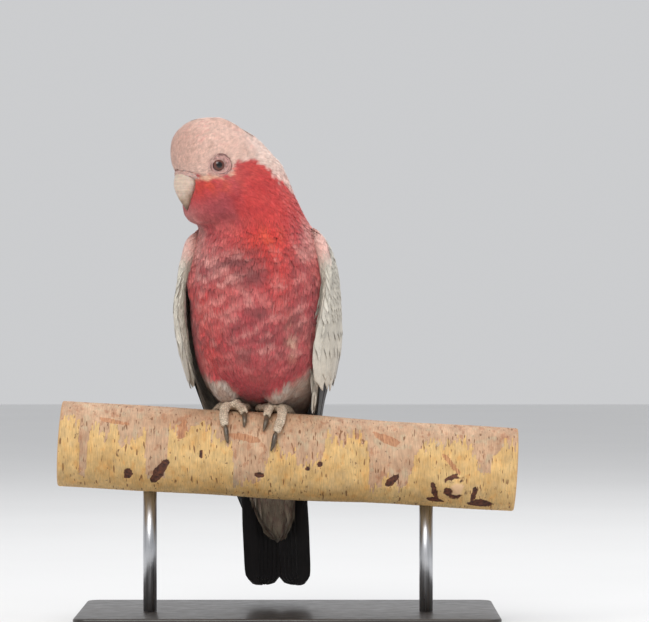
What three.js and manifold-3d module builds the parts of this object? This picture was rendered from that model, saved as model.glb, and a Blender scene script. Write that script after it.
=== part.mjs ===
// A galah perched on a cut length of birch, held by a flat display stand.
// Millimetres, +Z up, the bird faces -Y. The origin is the middle of the base's underside.
// The bird is shaped in its own space: x to its left, y to its tail, z up from the perch's top.

import * as THREE from "three";
import { mergeVertices } from "three/addons/utils/BufferGeometryUtils.js";
import Module from "manifold-3d";

// ---------------------------------------------------------------- driving dimensions

const GAP = 0.3; // clearance left between neighbouring solids

const PERCH_RADIUS = 28.5;
const PERCH_TAPER = 1.2; // radius lost from the left end to the right
const PERCH_LEFT = -132;
const PERCH_RIGHT = 172;
const PERCH_SLOPE_DEG = 3.3; // the right end hangs lower

const TAIL_TIP_BELOW_PERCH = 121; // from the perch's top down to the tail's tip
const TAIL_CLEARANCE = 12; // from the tail's tip down to the base
const BASE_THICK = 12;
const BASE_LONG = 280;
const BASE_DEEP = 166;
const BASE_CORNER = 10;
const ROD_RADIUS = 4.5;
const ROD_SPREAD = 92; // each rod's distance from the middle of the base

const BODY_YAW_DEG = -8; // the whole bird turns a little to its right
const HEAD_YAW_DEG = -54; // the head turns further to its right
const HEAD_PITCH_DEG = 3; // bill slightly down
const HEAD_CENTRE = [-23.8, -17.5, 165];
const EYE_RADIUS = 5.2;
const EYE_AT = [18.9, -10, -1.5]; // left eye, in head space

const PERCH_TOP = BASE_THICK + TAIL_CLEARANCE + TAIL_TIP_BELOW_PERCH;
const PERCH_AXIS_Z = PERCH_TOP - PERCH_RADIUS;
const PERCH_Y = -20; // the perch lies forward of the base's middle, over the tail's weight
const PERCH_MIDDLE = (PERCH_LEFT + PERCH_RIGHT) / 2;
const BIRD_X = -PERCH_MIDDLE; // the bird stands left of the base's middle

// ---------------------------------------------------------------- finishes

const finish = (colour, roughness, metalness = 0) =>
  new THREE.MeshStandardMaterial({ color: colour, roughness, metalness });

const MATERIALS = {
  rose: finish(0xc9525a, 0.85),
  crown: finish(0xe0bcae, 0.85),
  grey: finish(0xb5b2a8, 0.8),
  dark: finish(0x2a2725, 0.7),
  taupe: finish(0x8d8478, 0.85),
  horn: finish(0xcfc4ab, 0.45),
  eye: finish(0x1c0e0b, 0.08),
  scaly: finish(0xa79c88, 0.75),
  claw: finish(0x4a3c33, 0.45),
  bark: finish(0xd9b57c, 0.75),
  lacquer: finish(0x2b2522, 0.4),
  steel: finish(0xb8babd, 0.3, 1),
};

// ---------------------------------------------------------------- solids

const kit = await Module();
kit.setup();

// A closed three.js geometry as a manifold-3d solid, turned to face outwards.
function solidOf(geometry, matrix = new THREE.Matrix4()) {
  const plain = new THREE.BufferGeometry();
  const source = geometry.index ? geometry.toNonIndexed() : geometry;
  plain.setAttribute("position", source.getAttribute("position").clone());
  plain.applyMatrix4(matrix);
  const merged = mergeVertices(plain, 1e-3);
  const at = merged.attributes.position.array;
  const tri = [];
  for (let i = 0; i < merged.index.count; i += 3) {
    const [a, b, c] = [0, 1, 2].map((k) => merged.index.getX(i + k));
    if (a !== b && b !== c && c !== a) tri.push(a, b, c);
  }
  const corner = (i) => new THREE.Vector3(at[3 * i], at[3 * i + 1], at[3 * i + 2]);
  let volume = 0;
  for (let i = 0; i < tri.length; i += 3) {
    volume += corner(tri[i]).dot(corner(tri[i + 1]).cross(corner(tri[i + 2])));
  }
  if (volume < 0) tri.reverse();
  return new kit.Manifold(
    new kit.Mesh({ numProp: 3, vertProperties: at, triVerts: new Uint32Array(tri) }),
  );
}

function geometryOf(solid) {
  const mesh = solid.getMesh();
  const at = new Float32Array(mesh.numVert * 3);
  for (let i = 0; i < mesh.numVert; i++) {
    at.set(mesh.vertProperties.subarray(i * mesh.numProp, i * mesh.numProp + 3), i * 3);
  }
  const geometry = new THREE.BufferGeometry();
  geometry.setAttribute("position", new THREE.BufferAttribute(at, 3));
  geometry.setIndex(new THREE.BufferAttribute(new Uint32Array(mesh.triVerts), 1));
  geometry.computeVertexNormals();
  return geometry;
}

// The largest connected body of a solid, so that a cut leaves no crumbs.
function mainBody(solid) {
  return solid.decompose().sort((a, b) => b.volume() - a.volume())[0];
}

const unite = (first, ...rest) => rest.reduce((sum, next) => sum.add(next), first);
const cut = (first, ...rest) => rest.reduce((left, next) => left.subtract(next), first);

// Smooth values through rows of numbers, three columns to a curve.
function rowCurve(rows) {
  const groups = Math.ceil(rows[0].length / 3);
  const curves = [...Array(groups).keys()].map(
    (g) =>
      new THREE.CatmullRomCurve3(
        rows.map((row) => new THREE.Vector3(...[0, 1, 2].map((k) => row[3 * g + k] ?? 0))),
        false,
        "catmullrom",
        0.5,
      ),
  );
  return (t) => curves.flatMap((curve) => curve.getPoint(t).toArray());
}

// A ball's grid of points moved by place(u round, v along), so the shape is closed at both ends.
function mapped(around, along, place) {
  const ball = new THREE.SphereGeometry(1, around, along);
  const uv = ball.attributes.uv;
  const at = ball.attributes.position;
  for (let i = 0; i < at.count; i++) {
    const v = 1 - uv.getY(i);
    const u = v < 1e-6 || v > 1 - 1e-6 ? 0 : uv.getX(i) % 1;
    at.setXYZ(i, ...place(u, v));
  }
  return ball;
}

// A form given by level slices, rows of [z, front y, back y, half width, middle x].
function sliced(rows, around, along, grow = 0) {
  const value = rowCurve(rows);
  return mapped(around, along, (u, v) => {
    const [z, front, back, wide, x] = value(v);
    const angle = 2 * Math.PI * u;
    const end = Math.min(1, 12 * v * (1 - v)); // no growth at the very ends
    const depth = (back - front) / 2 + grow * end;
    return [
      x + (wide + grow * end) * Math.cos(angle),
      (front + back) / 2 + depth * Math.sin(angle),
      z + grow * (1 - 2 * v),
    ];
  });
}

// A form swept along a line, rows of [x, y, z, half width, half height], its width along `side`.
function swept(rows, around, along, side = new THREE.Vector3(1, 0, 0), grow = 0) {
  const value = rowCurve(rows);
  const step = 0.01;
  return mapped(around, along, (u, v) => {
    const [x, y, z, wide, high] = value(v);
    const before = value(Math.max(0, v - step));
    const after = value(Math.min(1, v + step));
    const along3 = new THREE.Vector3(...[0, 1, 2].map((k) => after[k] - before[k])).normalize();
    const across = side.clone().addScaledVector(along3, -side.dot(along3)).normalize();
    const up = new THREE.Vector3().crossVectors(along3, across);
    const angle = 2 * Math.PI * u;
    const tip = v <= 0 ? -1 : v >= 1 ? 1 : 0;
    const ring = tip ? 0 : 1;
    return new THREE.Vector3(x, y, z)
      .addScaledVector(along3, grow * tip)
      .addScaledVector(across, (wide + grow) * ring * Math.cos(angle))
      .addScaledVector(up, (high + grow) * ring * Math.sin(angle))
      .toArray();
  });
}

const THICKNESS_AT = 9; // the column of a blade's row that holds its thickness

// A bent blade: bow(numbers) gives the line across it at each row.
function blade(rows, bow, around, along, side = 1, grow = 0) {
  const value = rowCurve(rows);
  const step = 0.02;
  const section = (v, c) => {
    const point = bow(value(v)).getPoint(c);
    point.x *= side;
    return point;
  };
  return mapped(around, along, (u, v) => {
    const angle = 2 * Math.PI * u;
    const c = (1 - Math.cos(angle)) / 2;
    const down = section(Math.min(1, v + step), c).sub(section(Math.max(0, v - step), c));
    const over = section(v, Math.min(1, c + step)).sub(section(v, Math.max(0, c - step)));
    const out = new THREE.Vector3().crossVectors(down, over);
    if (out.lengthSq() > 1e-9) out.normalize();
    const half = value(v)[THICKNESS_AT] / 2 + grow;
    return section(v, c).addScaledVector(out, half * Math.sin(angle)).toArray();
  });
}

const group = new THREE.Group();

function add(parent, name, material, geometry) {
  const mesh = new THREE.Mesh(geometry, MATERIALS[material]);
  mesh.name = name;
  parent.add(mesh);
  return mesh;
}

// ---------------------------------------------------------------- frames

const degrees = THREE.MathUtils.degToRad;

const perchFrame = new THREE.Matrix4()
  .makeTranslation(BIRD_X, PERCH_Y, PERCH_AXIS_Z)
  .multiply(new THREE.Matrix4().makeRotationY(degrees(PERCH_SLOPE_DEG)));

const birdFrame = new THREE.Matrix4()
  .makeTranslation(BIRD_X, PERCH_Y, PERCH_TOP)
  .multiply(new THREE.Matrix4().makeRotationZ(degrees(BODY_YAW_DEG)));
const toBird = birdFrame.clone().invert();

const headFrame = new THREE.Matrix4()
  .makeTranslation(...HEAD_CENTRE)
  .multiply(new THREE.Matrix4().makeRotationZ(degrees(HEAD_YAW_DEG)))
  .multiply(new THREE.Matrix4().makeRotationX(degrees(HEAD_PITCH_DEG)));

const bird = new THREE.Group();
birdFrame.decompose(bird.position, bird.quaternion, bird.scale);
group.add(bird);

// ---------------------------------------------------------------- perch

const KNOTS = [
  { x: 133, angle: 117, size: 11, high: 3.2 },
  { x: -88, angle: 95, size: 7, high: 1.4 },
  { x: 86, angle: -60, size: 9, high: 2.2 },
  { x: -40, angle: -130, size: 8, high: 1.8 },
];

// The perch's radius at x and at an angle in degrees from its top, positive towards the front.
function perchRadius(x, angle) {
  const along = (x - PERCH_LEFT) / (PERCH_RIGHT - PERCH_LEFT);
  const waves = 0.35 * Math.sin(x / 31 + 1.2) + 0.3 * Math.sin(x / 17 + degrees(2 * angle));
  const knots = KNOTS.map((k) => {
    const round = ((angle - k.angle + 540) % 360) - 180;
    const away = Math.hypot(x - k.x, degrees(round) * PERCH_RADIUS) / k.size;
    return k.high * Math.exp(-away * away);
  });
  return PERCH_RADIUS - PERCH_TAPER * (along - 0.43) + waves + knots.reduce((a, b) => a + b, 0);
}

function perchGeometry(grow) {
  const long = PERCH_RIGHT - PERCH_LEFT;
  const log = new THREE.CylinderGeometry(1, 1, long, 22, 12);
  log.rotateZ(-Math.PI / 2);
  log.translate(PERCH_MIDDLE, 0, 0);
  const at = log.attributes.position;
  for (let i = 0; i < at.count; i++) {
    const [x, y, z] = [at.getX(i), at.getY(i), at.getZ(i)];
    const rim = Math.hypot(y, z);
    const angle = THREE.MathUtils.radToDeg(Math.atan2(-y, z));
    const radius = rim < 0.5 ? 0 : perchRadius(x, angle) + grow;
    at.setXYZ(i, x, (y * radius) / (rim || 1), (z * radius) / (rim || 1));
  }
  return log;
}

add(group, "perch", "bark", geometryOf(solidOf(perchGeometry(0), perchFrame)));
const perchGap = solidOf(perchGeometry(GAP), perchFrame);
const perchGapInBird = perchGap.transform(toBird.elements);

// ---------------------------------------------------------------- stand

function baseGeometry() {
  const [halfX, halfY] = [BASE_LONG / 2 - BASE_CORNER, BASE_DEEP / 2 - BASE_CORNER];
  const plan = new THREE.Shape();
  plan.absarc(halfX, halfY, BASE_CORNER, 0, Math.PI / 2);
  plan.absarc(-halfX, halfY, BASE_CORNER, Math.PI / 2, Math.PI);
  plan.absarc(-halfX, -halfY, BASE_CORNER, Math.PI, 1.5 * Math.PI);
  plan.absarc(halfX, -halfY, BASE_CORNER, 1.5 * Math.PI, 2 * Math.PI);
  return new THREE.ExtrudeGeometry(plan, {
    depth: BASE_THICK,
    bevelEnabled: false,
    curveSegments: 4,
  });
}

add(group, "stand_base", "lacquer", geometryOf(solidOf(baseGeometry())));

for (const [name, side] of [["left", -1], ["right", 1]]) {
  const high = PERCH_TOP - BASE_THICK;
  const rod = new THREE.CylinderGeometry(ROD_RADIUS, ROD_RADIUS, high, 16);
  rod.rotateX(Math.PI / 2);
  rod.translate(side * ROD_SPREAD, PERCH_Y, BASE_THICK + GAP + high / 2);
  const below = mainBody(cut(solidOf(rod), perchGap));
  add(group, `stand_rod_${name}`, "steel", geometryOf(below));
}

// ---------------------------------------------------------------- trunk, neck and head

// Trunk and neck are one form, parted later by a level cut.
const TORSO = [
  // z, front, back, half width, middle
  [182, -8, -8, 0, -19],
  [181, -16, 0, 8, -18],
  [177.5, -22, 9, 16, -16],
  [172, -27, 17, 23.6, -14],
  [163, -31, 23, 30, -12.5],
  [151, -33, 26, 32, -10],
  [138, -34, 29, 34, -6.5],
  [127, -35.5, 32, 36.5, -3],
  [116, -39.5, 36.5, 40.5, -0.5],
  [102, -44.5, 41, 44, 0.8],
  [86, -47.5, 45.5, 46.5, 1.2],
  [70, -46.5, 49, 47.5, 1.4],
  [54, -43, 52, 47, 1.2],
  [38, -37, 54, 45, 1],
  [24, -27, 55.5, 41.5, 0.5],
  [14, -13, 56, 37, 0],
  [7, 5, 56, 33, 0],
  [0, 20, 55, 29, 0],
  [-6, 27.5, 54, 24, 0],
  [-12, 33, 50, 16, 0],
  [-15, 42, 42, 0, 0],
];

// In head space: z up from the eye's level, the bill towards -y.
const HEAD = [
  [29.6, -7, -7, 0, 0],
  [28.6, -17, -1, 9, 0],
  [25.5, -24, 6, 15, 0],
  [20, -30.2, 14.5, 20.2, 0],
  [12, -33, 28, 23.4, 0],
  [3, -33, 32, 24.8, 0],
  [-5, -30, 32, 25.4, 0],
  [-13, -25.8, 31, 26, 0],
  [-22, -25.4, 28, 25.6, 0],
  [-30, -25.5, 24, 23, 0],
  [-36.5, -23, 16, 19, 0],
  [-40.5, -15, 8, 12, 0],
  [-42.5, -4, -4, 0, 0],
];

const CREST = [
  // x, y, z, half width, half height, in head space
  [0, -26, 23.6, 0, 0],
  [0, -19, 27, 8, 1.7],
  [0, -8, 28.2, 12.5, 2.2],
  [0, 2.5, 27.2, 14, 2.4],
  [0, 13.8, 19.8, 13, 2.6],
  [0, 24.3, 14.6, 10.5, 2.6],
  [0, 33.5, 7.4, 7, 2.2],
  [0, 40.5, 2, 0, 0],
];

const crestSolid = (grow) =>
  solidOf(swept(CREST, 10, 10, new THREE.Vector3(1, 0, 0), grow), headFrame);
const eyeSolid = (side, grow) => {
  const ball = new THREE.SphereGeometry(EYE_RADIUS + grow, 10, 7);
  ball.translate(side * EYE_AT[0], EYE_AT[1], EYE_AT[2]);
  return solidOf(ball, headFrame);
};

const BEAK_UPPER = [
  [-1.5, -24, -24, 0, 0],
  [-3, -28, -18, 8, 0],
  [-7, -31, -16, 10.6, 0],
  [-12, -32.4, -16.5, 10, 0],
  [-17, -31.9, -18, 7.8, 0],
  [-22, -30, -19.6, 4.8, 0],
  [-26.5, -27.2, -21, 2.6, 0],
  [-30, -24.4, -24.4, 0, 0],
];
const BEAK_LOWER = [
  [-22.4, -17.6, -17.6, 0, 0],
  [-24, -22.4, -12, 5, 0],
  [-27, -22, -11.4, 5.2, 0],
  [-29.4, -19, -12, 3.8, 0],
  [-30.6, -15.6, -15.6, 0, 0],
];
const beakSolid = (rows, grow) => solidOf(sliced(rows, 12, 9, grow), headFrame);

const upperBeak = cut(beakSolid(BEAK_UPPER, 0), beakSolid(BEAK_LOWER, GAP));
const lowerBeak = beakSolid(BEAK_LOWER, 0);

// Thigh feathering, rows down from the flank to the ankle, for each side.
const FOOT_X = { left: 9.5, right: -18 };
const thighRows = (side) => {
  const foot = FOOT_X[side] * 0.99;
  const hip = side === "left" ? 21 : -26;
  return [
    [hip, 6, 56, 0, 0],
    [hip, 4, 50, 9, 12],
    [hip, 0, 38, 12.5, 17],
    [THREE.MathUtils.lerp(hip, foot, 0.25), -3, 26, 12, 16],
    [THREE.MathUtils.lerp(hip, foot, 0.6), -3, 15, 9.5, 12],
    [THREE.MathUtils.lerp(hip, foot, 0.92), -1, 8.2, 6.2, 8],
    [foot, 0, 5.2, 0, 0],
  ];
};
const thighSolid = (side, grow) =>
  solidOf(swept(thighRows(side), 10, 7, new THREE.Vector3(1, 0, 0), grow));

// Large blocks that part the body by thin level and upright cuts.
const halfSpace = (z, above) => {
  const slab = new THREE.BoxGeometry(200, 200, 400);
  slab.translate(0, 0, z + (above ? 200 : -200));
  return solidOf(slab);
};

const NECK_BASE_Z = 119;
const BACK_Y = 32; // the grey mantle and rump lie behind this plane
const upright = (y, behind) => {
  const slab = new THREE.BoxGeometry(200, 200, 400);
  slab.translate(0, y + (behind ? 100 : -100), 0);
  return solidOf(slab);
};
const headWhole = (grow) => solidOf(sliced(HEAD, 18, 14, grow), headFrame);
const torso = (grow) => solidOf(sliced(TORSO, 18, 26, grow));

const belowNeck = cut(
  torso(0),
  halfSpace(NECK_BASE_Z - GAP / 2, true),
  thighSolid("left", GAP),
  thighSolid("right", GAP),
);
const trunkCut = cut(belowNeck, upright(BACK_Y - GAP / 2, true));
const backCut = cut(belowNeck, upright(BACK_Y + GAP / 2, false));
const neckCut = cut(
  torso(0),
  halfSpace(NECK_BASE_Z + GAP / 2, false),
  headWhole(GAP),
  crestSolid(GAP),
);
const headCut = cut(
  headWhole(0),
  crestSolid(GAP),
  eyeSolid(1, GAP),
  eyeSolid(-1, GAP),
  beakSolid(BEAK_UPPER, GAP),
  beakSolid(BEAK_LOWER, GAP),
);

// ---------------------------------------------------------------- tail

// The tail's lobes hang behind the perch; each is a broad blade with a rounded end.
const TAIL_TIP = [11, 79.5, -TAIL_TIP_BELOW_PERCH];
const TAIL_LOBE = [
  // outer edge xyz, crown xyz, inner edge xyz, thickness
  [11, 38, 6, 6, 44, 6, 1, 41, 6, 0],
  [17, 42, 0, 8, 49, 0, -1, 46, 0, 3.6],
  [21, 48, -20, 9, 54, -20, -1.5, 53, -20, 4],
  [22.5, 55, -45, 10, 62, -45, -1.5, 61, -45, 3.8],
  [23, 63, -72, 10, 70, -72, -1.2, 69, -72, 3.4],
  [23, 70, -97, 10, 76.5, -97, -0.8, 75.5, -97, 3],
  [22.6, 73.4, -109, 11, 79, -109, -0.6, 78, -109, 2.7],
  [21.2, 75.4, -116, 11, 80, -116, 0, 79, -116, 2.3],
  [17.4, 77.4, -119.8, 11, 80, -120.2, 4, 79.6, -119.6, 1.8],
  [...TAIL_TIP, ...TAIL_TIP, ...TAIL_TIP, 0],
];
const tailBow = (n) =>
  new THREE.QuadraticBezierCurve3(
    new THREE.Vector3(n[0], n[1], n[2]),
    new THREE.Vector3(n[3], n[4], n[5]),
    new THREE.Vector3(n[6], n[7], n[8]),
  );
const TAIL_OFFSET = 2; // the tail hangs a little to the bird's left
const tailShape = (grow) =>
  unite(
    solidOf(blade(TAIL_LOBE, tailBow, 10, 13, 1, grow)),
    solidOf(blade(TAIL_LOBE, tailBow, 10, 13, -1, grow)),
  ).translate(TAIL_OFFSET, 0, 0);
const tailSolid = tailShape(0);

const UNDERTAIL = [
  // x, y, z, half width, half height
  [1.5, 40, -14, 0, 0],
  [1.5, 41, -19, 17, 6.5],
  [1.6, 45, -34, 17.5, 7.5],
  [1.7, 52, -52, 16, 6],
  [1.9, 58.6, -69, 13, 4.6],
  [3.1, 62.6, -78, 9.6, 3.6],
  [3.5, 65.4, -85, 6.4, 2.6],
  [3.6, 66.6, -88.5, 3, 1.5],
  [3.6, 67.2, -90, 0, 0],
];
const UPPERTAIL = [
  [0, 60, -14, 0, 0],
  [0, 60, -17, 15, 4],
  [0, 64, -32, 14, 3.6],
  [0, 69, -48, 9.5, 2.6],
  [0, 73, -60, 0, 0],
];

const undertailSolid = solidOf(swept(UNDERTAIL, 12, 9));
const uppertailSolid = solidOf(swept(UPPERTAIL, 10, 7));

// ---------------------------------------------------------------- wings

// Rows from shoulder to tip. The two zeros only fill each row up to its thickness.
const WING = [
  // front edge xyz, rear edge xyz, outward bow, 0, 0, thickness
  [35, 0, 124, 35, 0, 124, 0, 0, 0, 0],
  [42.5, -14, 114, 20, 32, 119, 3, 0, 0, 3.2],
  [46.5, -20, 100, 11, 43.5, 106, 9, 0, 0, 4.8],
  [47.5, -21.5, 84, 5.5, 51, 90, 13, 0, 0, 5.8],
  [44.5, -22, 65, 4, 55.5, 72, 21, 0, 0, 6.4],
  [40, -19, 46, 3.4, 60.5, 52, 31, 0, 0, 6.4],
  [38.5, -9, 25, 3.4, 65, 31, 24, 0, 0, 6],
  [37.5, 9, 3, 3.6, 70, 6, 9, 0, 0, 5],
  [32, 34, -25, 4.2, 75, -24, 6, 0, 0, 4.2],
  [25.5, 53, -52, 5, 79.5, -53, 4, 0, 0, 3.4],
  [18, 70, -78, 6.5, 84, -82, 1.5, 0, 0, 2.6],
  [11, 85, -99, 11, 85, -99, 0, 0, 0, 0],
];
// The right wing's front edge hangs off the flank by these amounts, row by row.
const RIGHT_WING_DROOP = [0, -1, -2.5, 0, 4, 6, 5, 3, 1, 0, 0, 0];
const DROOP_BOW = -1.6; // and its bow flattens by this much for each millimetre of that
const FLANK_REACH = 0.55; // how far a section runs back along the flank before it turns
const BACK_REACH = 0.8; // and how far out along the back
const wingBow = (n) => {
  const front = new THREE.Vector3(n[0], n[1], n[2]);
  const rear = new THREE.Vector3(n[3], n[4], n[5]);
  const alongFlank = new THREE.Vector3(n[6], FLANK_REACH * (n[4] - n[1]), (n[5] - n[2]) / 3);
  const alongBack = new THREE.Vector3(BACK_REACH * (n[0] - n[3]), 0, (n[2] - n[5]) / 3);
  return new THREE.CubicBezierCurve3(front, alongFlank.add(front), alongBack.add(rear), rear);
};
const WING_SPLIT_Z = -6; // the long flight feathers beyond this level are a node of their own

function wingRows(side) {
  if (side > 0) return WING;
  return WING.map((row, i) => {
    const moved = [...row];
    moved[0] += RIGHT_WING_DROOP[i];
    moved[6] += DROOP_BOW * RIGHT_WING_DROOP[i];
    return moved;
  });
}

const flesh = unite(torso(GAP), thighSolid("left", GAP), thighSolid("right", GAP));
const tailBulk = unite(tailSolid, undertailSolid, uppertailSolid);

// ---------------------------------------------------------------- feet

// A toe is a line over the perch: pairs of x and degrees round it from the top, towards the front.
const FEET = {
  left: {
    ankle: [9.5, 2],
    toes: {
      inner_front: {
        route: [[8, 2], [6, 14], [5, 26], [4.6, 37]],
        claw: [[4.2, 47], [2.6, 58]],
        thick: 3,
      },
      outer_front: {
        route: [[11, 2], [14, 18], [14.4, 36], [12.6, 52], [11.4, 62]],
        claw: [[10.2, 73], [8.4, 84]],
        thick: 3.2,
      },
      inner_back: {
        route: [[8, -2], [3.5, -5], [-0.6, -10], [-2.4, -18]],
        claw: [[-2.2, -28], [-1.6, -38]],
        thick: 2.7,
      },
      outer_back: {
        route: [[11, -2], [16, -12], [20, -26], [22, -40], [22.6, -50]],
        claw: [[23, -60], [23, -70]],
        thick: 3,
      },
    },
  },
  right: {
    ankle: [-18, 2],
    toes: {
      inner_front: {
        route: [[-17, 2], [-14, 12], [-11.6, 23], [-10.4, 33]],
        claw: [[-9.8, 43], [-10, 53]],
        thick: 3,
      },
      outer_front: {
        route: [[-19.5, 2], [-23, 15], [-24, 32], [-23.4, 47], [-22.2, 57]],
        claw: [[-21, 67], [-19.6, 77]],
        thick: 3.2,
      },
      inner_back: {
        route: [[-16.5, -2], [-12.6, -5], [-9.8, -11], [-9, -20]],
        claw: [[-9.4, -30], [-10.2, -40]],
        thick: 2.7,
      },
      outer_back: {
        route: [[-20, -2], [-25, -12], [-29, -26], [-31, -40], [-31.6, -50]],
        claw: [[-32, -60], [-32, -70]],
        thick: 3,
      },
    },
  },
};
const TOE_KNUCKLES = 3; // swellings along each toe
const PALM = [5.2, 6, 4.2]; // the palm's half sizes along the perch, across it and upwards
const CLAW_WIDTHS = [0, 1.7, 1.8, 1.65, 1.3, 0.8, 0]; // half widths from root to tip
const CLAW_ROOT_DEG = 6; // how far a claw's root reaches back into its toe

function overPerch(x, angle, lift) {
  const radius = perchRadius(x, angle) + GAP + lift;
  const a = degrees(angle);
  return new THREE.Vector3(x, -radius * Math.sin(a), radius * Math.cos(a)).applyMatrix4(perchFrame);
}

function toeRows(toe) {
  const points = toe.route.map(([x, angle], i) => overPerch(x, angle, toe.thick * (i ? 1 : 1.2)));
  const line = new THREE.CatmullRomCurve3(points);
  const rows = [];
  const steps = 3 * toe.route.length;
  for (let i = 0; i <= steps; i++) {
    const t = i / steps;
    const swell = 1 + 0.1 * Math.cos(2 * Math.PI * TOE_KNUCKLES * t);
    const radius = i === 0 || i === steps ? 0 : toe.thick * (1.02 - 0.2 * t) * swell;
    rows.push([...line.getPoint(t).toArray(), radius, radius * 0.94]);
  }
  return rows;
}

function clawRows(toe) {
  const [lastX, lastAngle] = toe.route[toe.route.length - 1];
  const [[midX, midAngle], [tipX, tipAngle]] = toe.claw;
  const start = overPerch(lastX, lastAngle - Math.sign(lastAngle) * CLAW_ROOT_DEG, toe.thick);
  const points = [start, overPerch(midX, midAngle, toe.thick * 0.75), overPerch(tipX, tipAngle, 0.25)];
  const line = new THREE.CatmullRomCurve3(points);
  const last = CLAW_WIDTHS.length - 1;
  return CLAW_WIDTHS.map((w, i) => [...line.getPoint(i / last).toArray(), w, w * 1.15]);
}

const alongPerch = new THREE.Vector3(1, 0, 0);

const claw = (toe, grow) => solidOf(swept(clawRows(toe), 6, 6, alongPerch, grow));

// The palm and the four toes as one solid, without the claws.
function foot(side, grow) {
  const { ankle, toes } = FEET[side];
  const palm = new THREE.SphereGeometry(1, 10, 7);
  palm.scale(...PALM.map((half) => half + grow));
  palm.translate(...overPerch(...ankle, PALM[2] - 0.1).toArray());
  const parts = Object.values(toes).map((toe) =>
    solidOf(swept(toeRows(toe), 7, 8, alongPerch, grow)),
  );
  return unite(solidOf(palm), ...parts);
}

for (const side of ["left", "right"]) {
  const toes = FEET[side].toes;
  const grownClaws = Object.values(toes).map((toe) => claw(toe, GAP));
  const thigh = thighSolid(side, GAP).transform(birdFrame.elements);
  const whole = cut(foot(side, 0), perchGap, thigh, ...grownClaws);
  add(group, `foot_${side}`, "scaly", geometryOf(mainBody(whole)));
  for (const [name, toe] of Object.entries(toes)) {
    add(group, `claw_${side}_${name}`, "claw", geometryOf(mainBody(cut(claw(toe, 0), perchGap))));
  }
}

// ---------------------------------------------------------------- the bird's nodes

add(bird, "trunk", "rose", geometryOf(mainBody(trunkCut)));
add(bird, "back", "grey", geometryOf(mainBody(backCut)));
add(bird, "neck", "rose", geometryOf(mainBody(neckCut)));
add(bird, "head", "crown", geometryOf(mainBody(headCut)));
add(bird, "crest", "crown", geometryOf(crestSolid(0)));
add(bird, "beak_upper", "horn", geometryOf(mainBody(upperBeak)));
add(bird, "beak_lower", "horn", geometryOf(lowerBeak));

for (const [name, side] of [["left", 1], ["right", -1]]) {
  add(bird, `eye_${name}`, "eye", geometryOf(eyeSolid(side, 0)));
  add(bird, `thigh_${name}`, "taupe", geometryOf(mainBody(cut(thighSolid(name, 0), perchGapInBird))));
  const whole = cut(solidOf(blade(wingRows(side), wingBow, 14, 18, side)), flesh, tailBulk, perchGapInBird);
  const upper = whole.subtract(halfSpace(WING_SPLIT_Z + GAP / 2, false));
  const lower = whole.subtract(halfSpace(WING_SPLIT_Z - GAP / 2, true));
  add(bird, `wing_${name}`, "grey", geometryOf(mainBody(upper)));
  add(bird, `wing_tip_${name}`, "dark", geometryOf(mainBody(lower)));
}

const tailCut = cut(tailSolid, torso(GAP), perchGapInBird);
add(bird, "tail", "dark", geometryOf(mainBody(tailCut)));
const tailGap = unite(torso(GAP), tailShape(GAP));
add(bird, "undertail_coverts", "taupe", geometryOf(mainBody(cut(undertailSolid, tailGap, perchGapInBird))));
add(bird, "uppertail_coverts", "grey", geometryOf(mainBody(cut(uppertailSolid, tailGap))));

export default group;
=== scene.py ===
# %% [markdown]
# # A galah on a birch perch
#
# A galah is a small pink and grey cockatoo. This lesson dresses a plain solid model of one: the solids give
# every size and place, and Blender adds skin, feathers, horn, scales, bark and light. Everything is in
# metres, +Z is up and the bird faces -Y. The solids are loaded first and are never moved.

# %% Load the solid model
import math

import bmesh
import bpy
import numpy as np
from mathutils import Matrix, Vector
from mathutils.bvhtree import BVHTree
from mathutils.kdtree import KDTree


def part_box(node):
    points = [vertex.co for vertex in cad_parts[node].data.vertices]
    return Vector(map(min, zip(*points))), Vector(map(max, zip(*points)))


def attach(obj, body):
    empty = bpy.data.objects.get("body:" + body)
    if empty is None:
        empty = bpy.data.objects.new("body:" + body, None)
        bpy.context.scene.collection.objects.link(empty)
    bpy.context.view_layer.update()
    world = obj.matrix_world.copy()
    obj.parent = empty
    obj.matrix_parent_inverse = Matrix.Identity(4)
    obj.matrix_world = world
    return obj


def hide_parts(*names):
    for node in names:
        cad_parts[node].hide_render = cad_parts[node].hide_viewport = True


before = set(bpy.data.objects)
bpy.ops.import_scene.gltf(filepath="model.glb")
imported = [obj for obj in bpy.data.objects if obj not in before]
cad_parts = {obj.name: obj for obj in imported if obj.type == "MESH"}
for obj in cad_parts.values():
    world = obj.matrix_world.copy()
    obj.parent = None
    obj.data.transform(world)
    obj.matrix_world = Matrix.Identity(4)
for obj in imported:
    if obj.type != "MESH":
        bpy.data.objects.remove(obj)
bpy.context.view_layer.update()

MM = 0.001

# %% [markdown]
# ## Frames
#
# Each part is easiest to shape in its own space. The perch has one along its axis, the bird has one that
# starts where it stands, and the head has one between its eyes, turned far to the bird's right. The turns
# are poses that can't be measured off a box, so they are named here; the places are read off the solids.

# %% Name the three spaces
PERCH_SLOPE = math.radians(3.3)
BODY_TURN = math.radians(-8)
HEAD_TURN = math.radians(-54)
HEAD_NOD = math.radians(3)
PERCH_RADIUS = 28.5 * MM
BIRD_X = -20 * MM  # where the bird stands along the perch
HEAD_CENTRE = Vector((-23.8, -17.5, 165)) * MM  # from the top of the perch, in the bird's space

rod_low, rod_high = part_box("stand_rod_left")
PERCH_Y = (rod_low.y + rod_high.y) / 2
TAIL_DROP = 121 * MM  # from the top of the perch to the tail's tip
PERCH_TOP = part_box("tail")[0].z + TAIL_DROP

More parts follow.
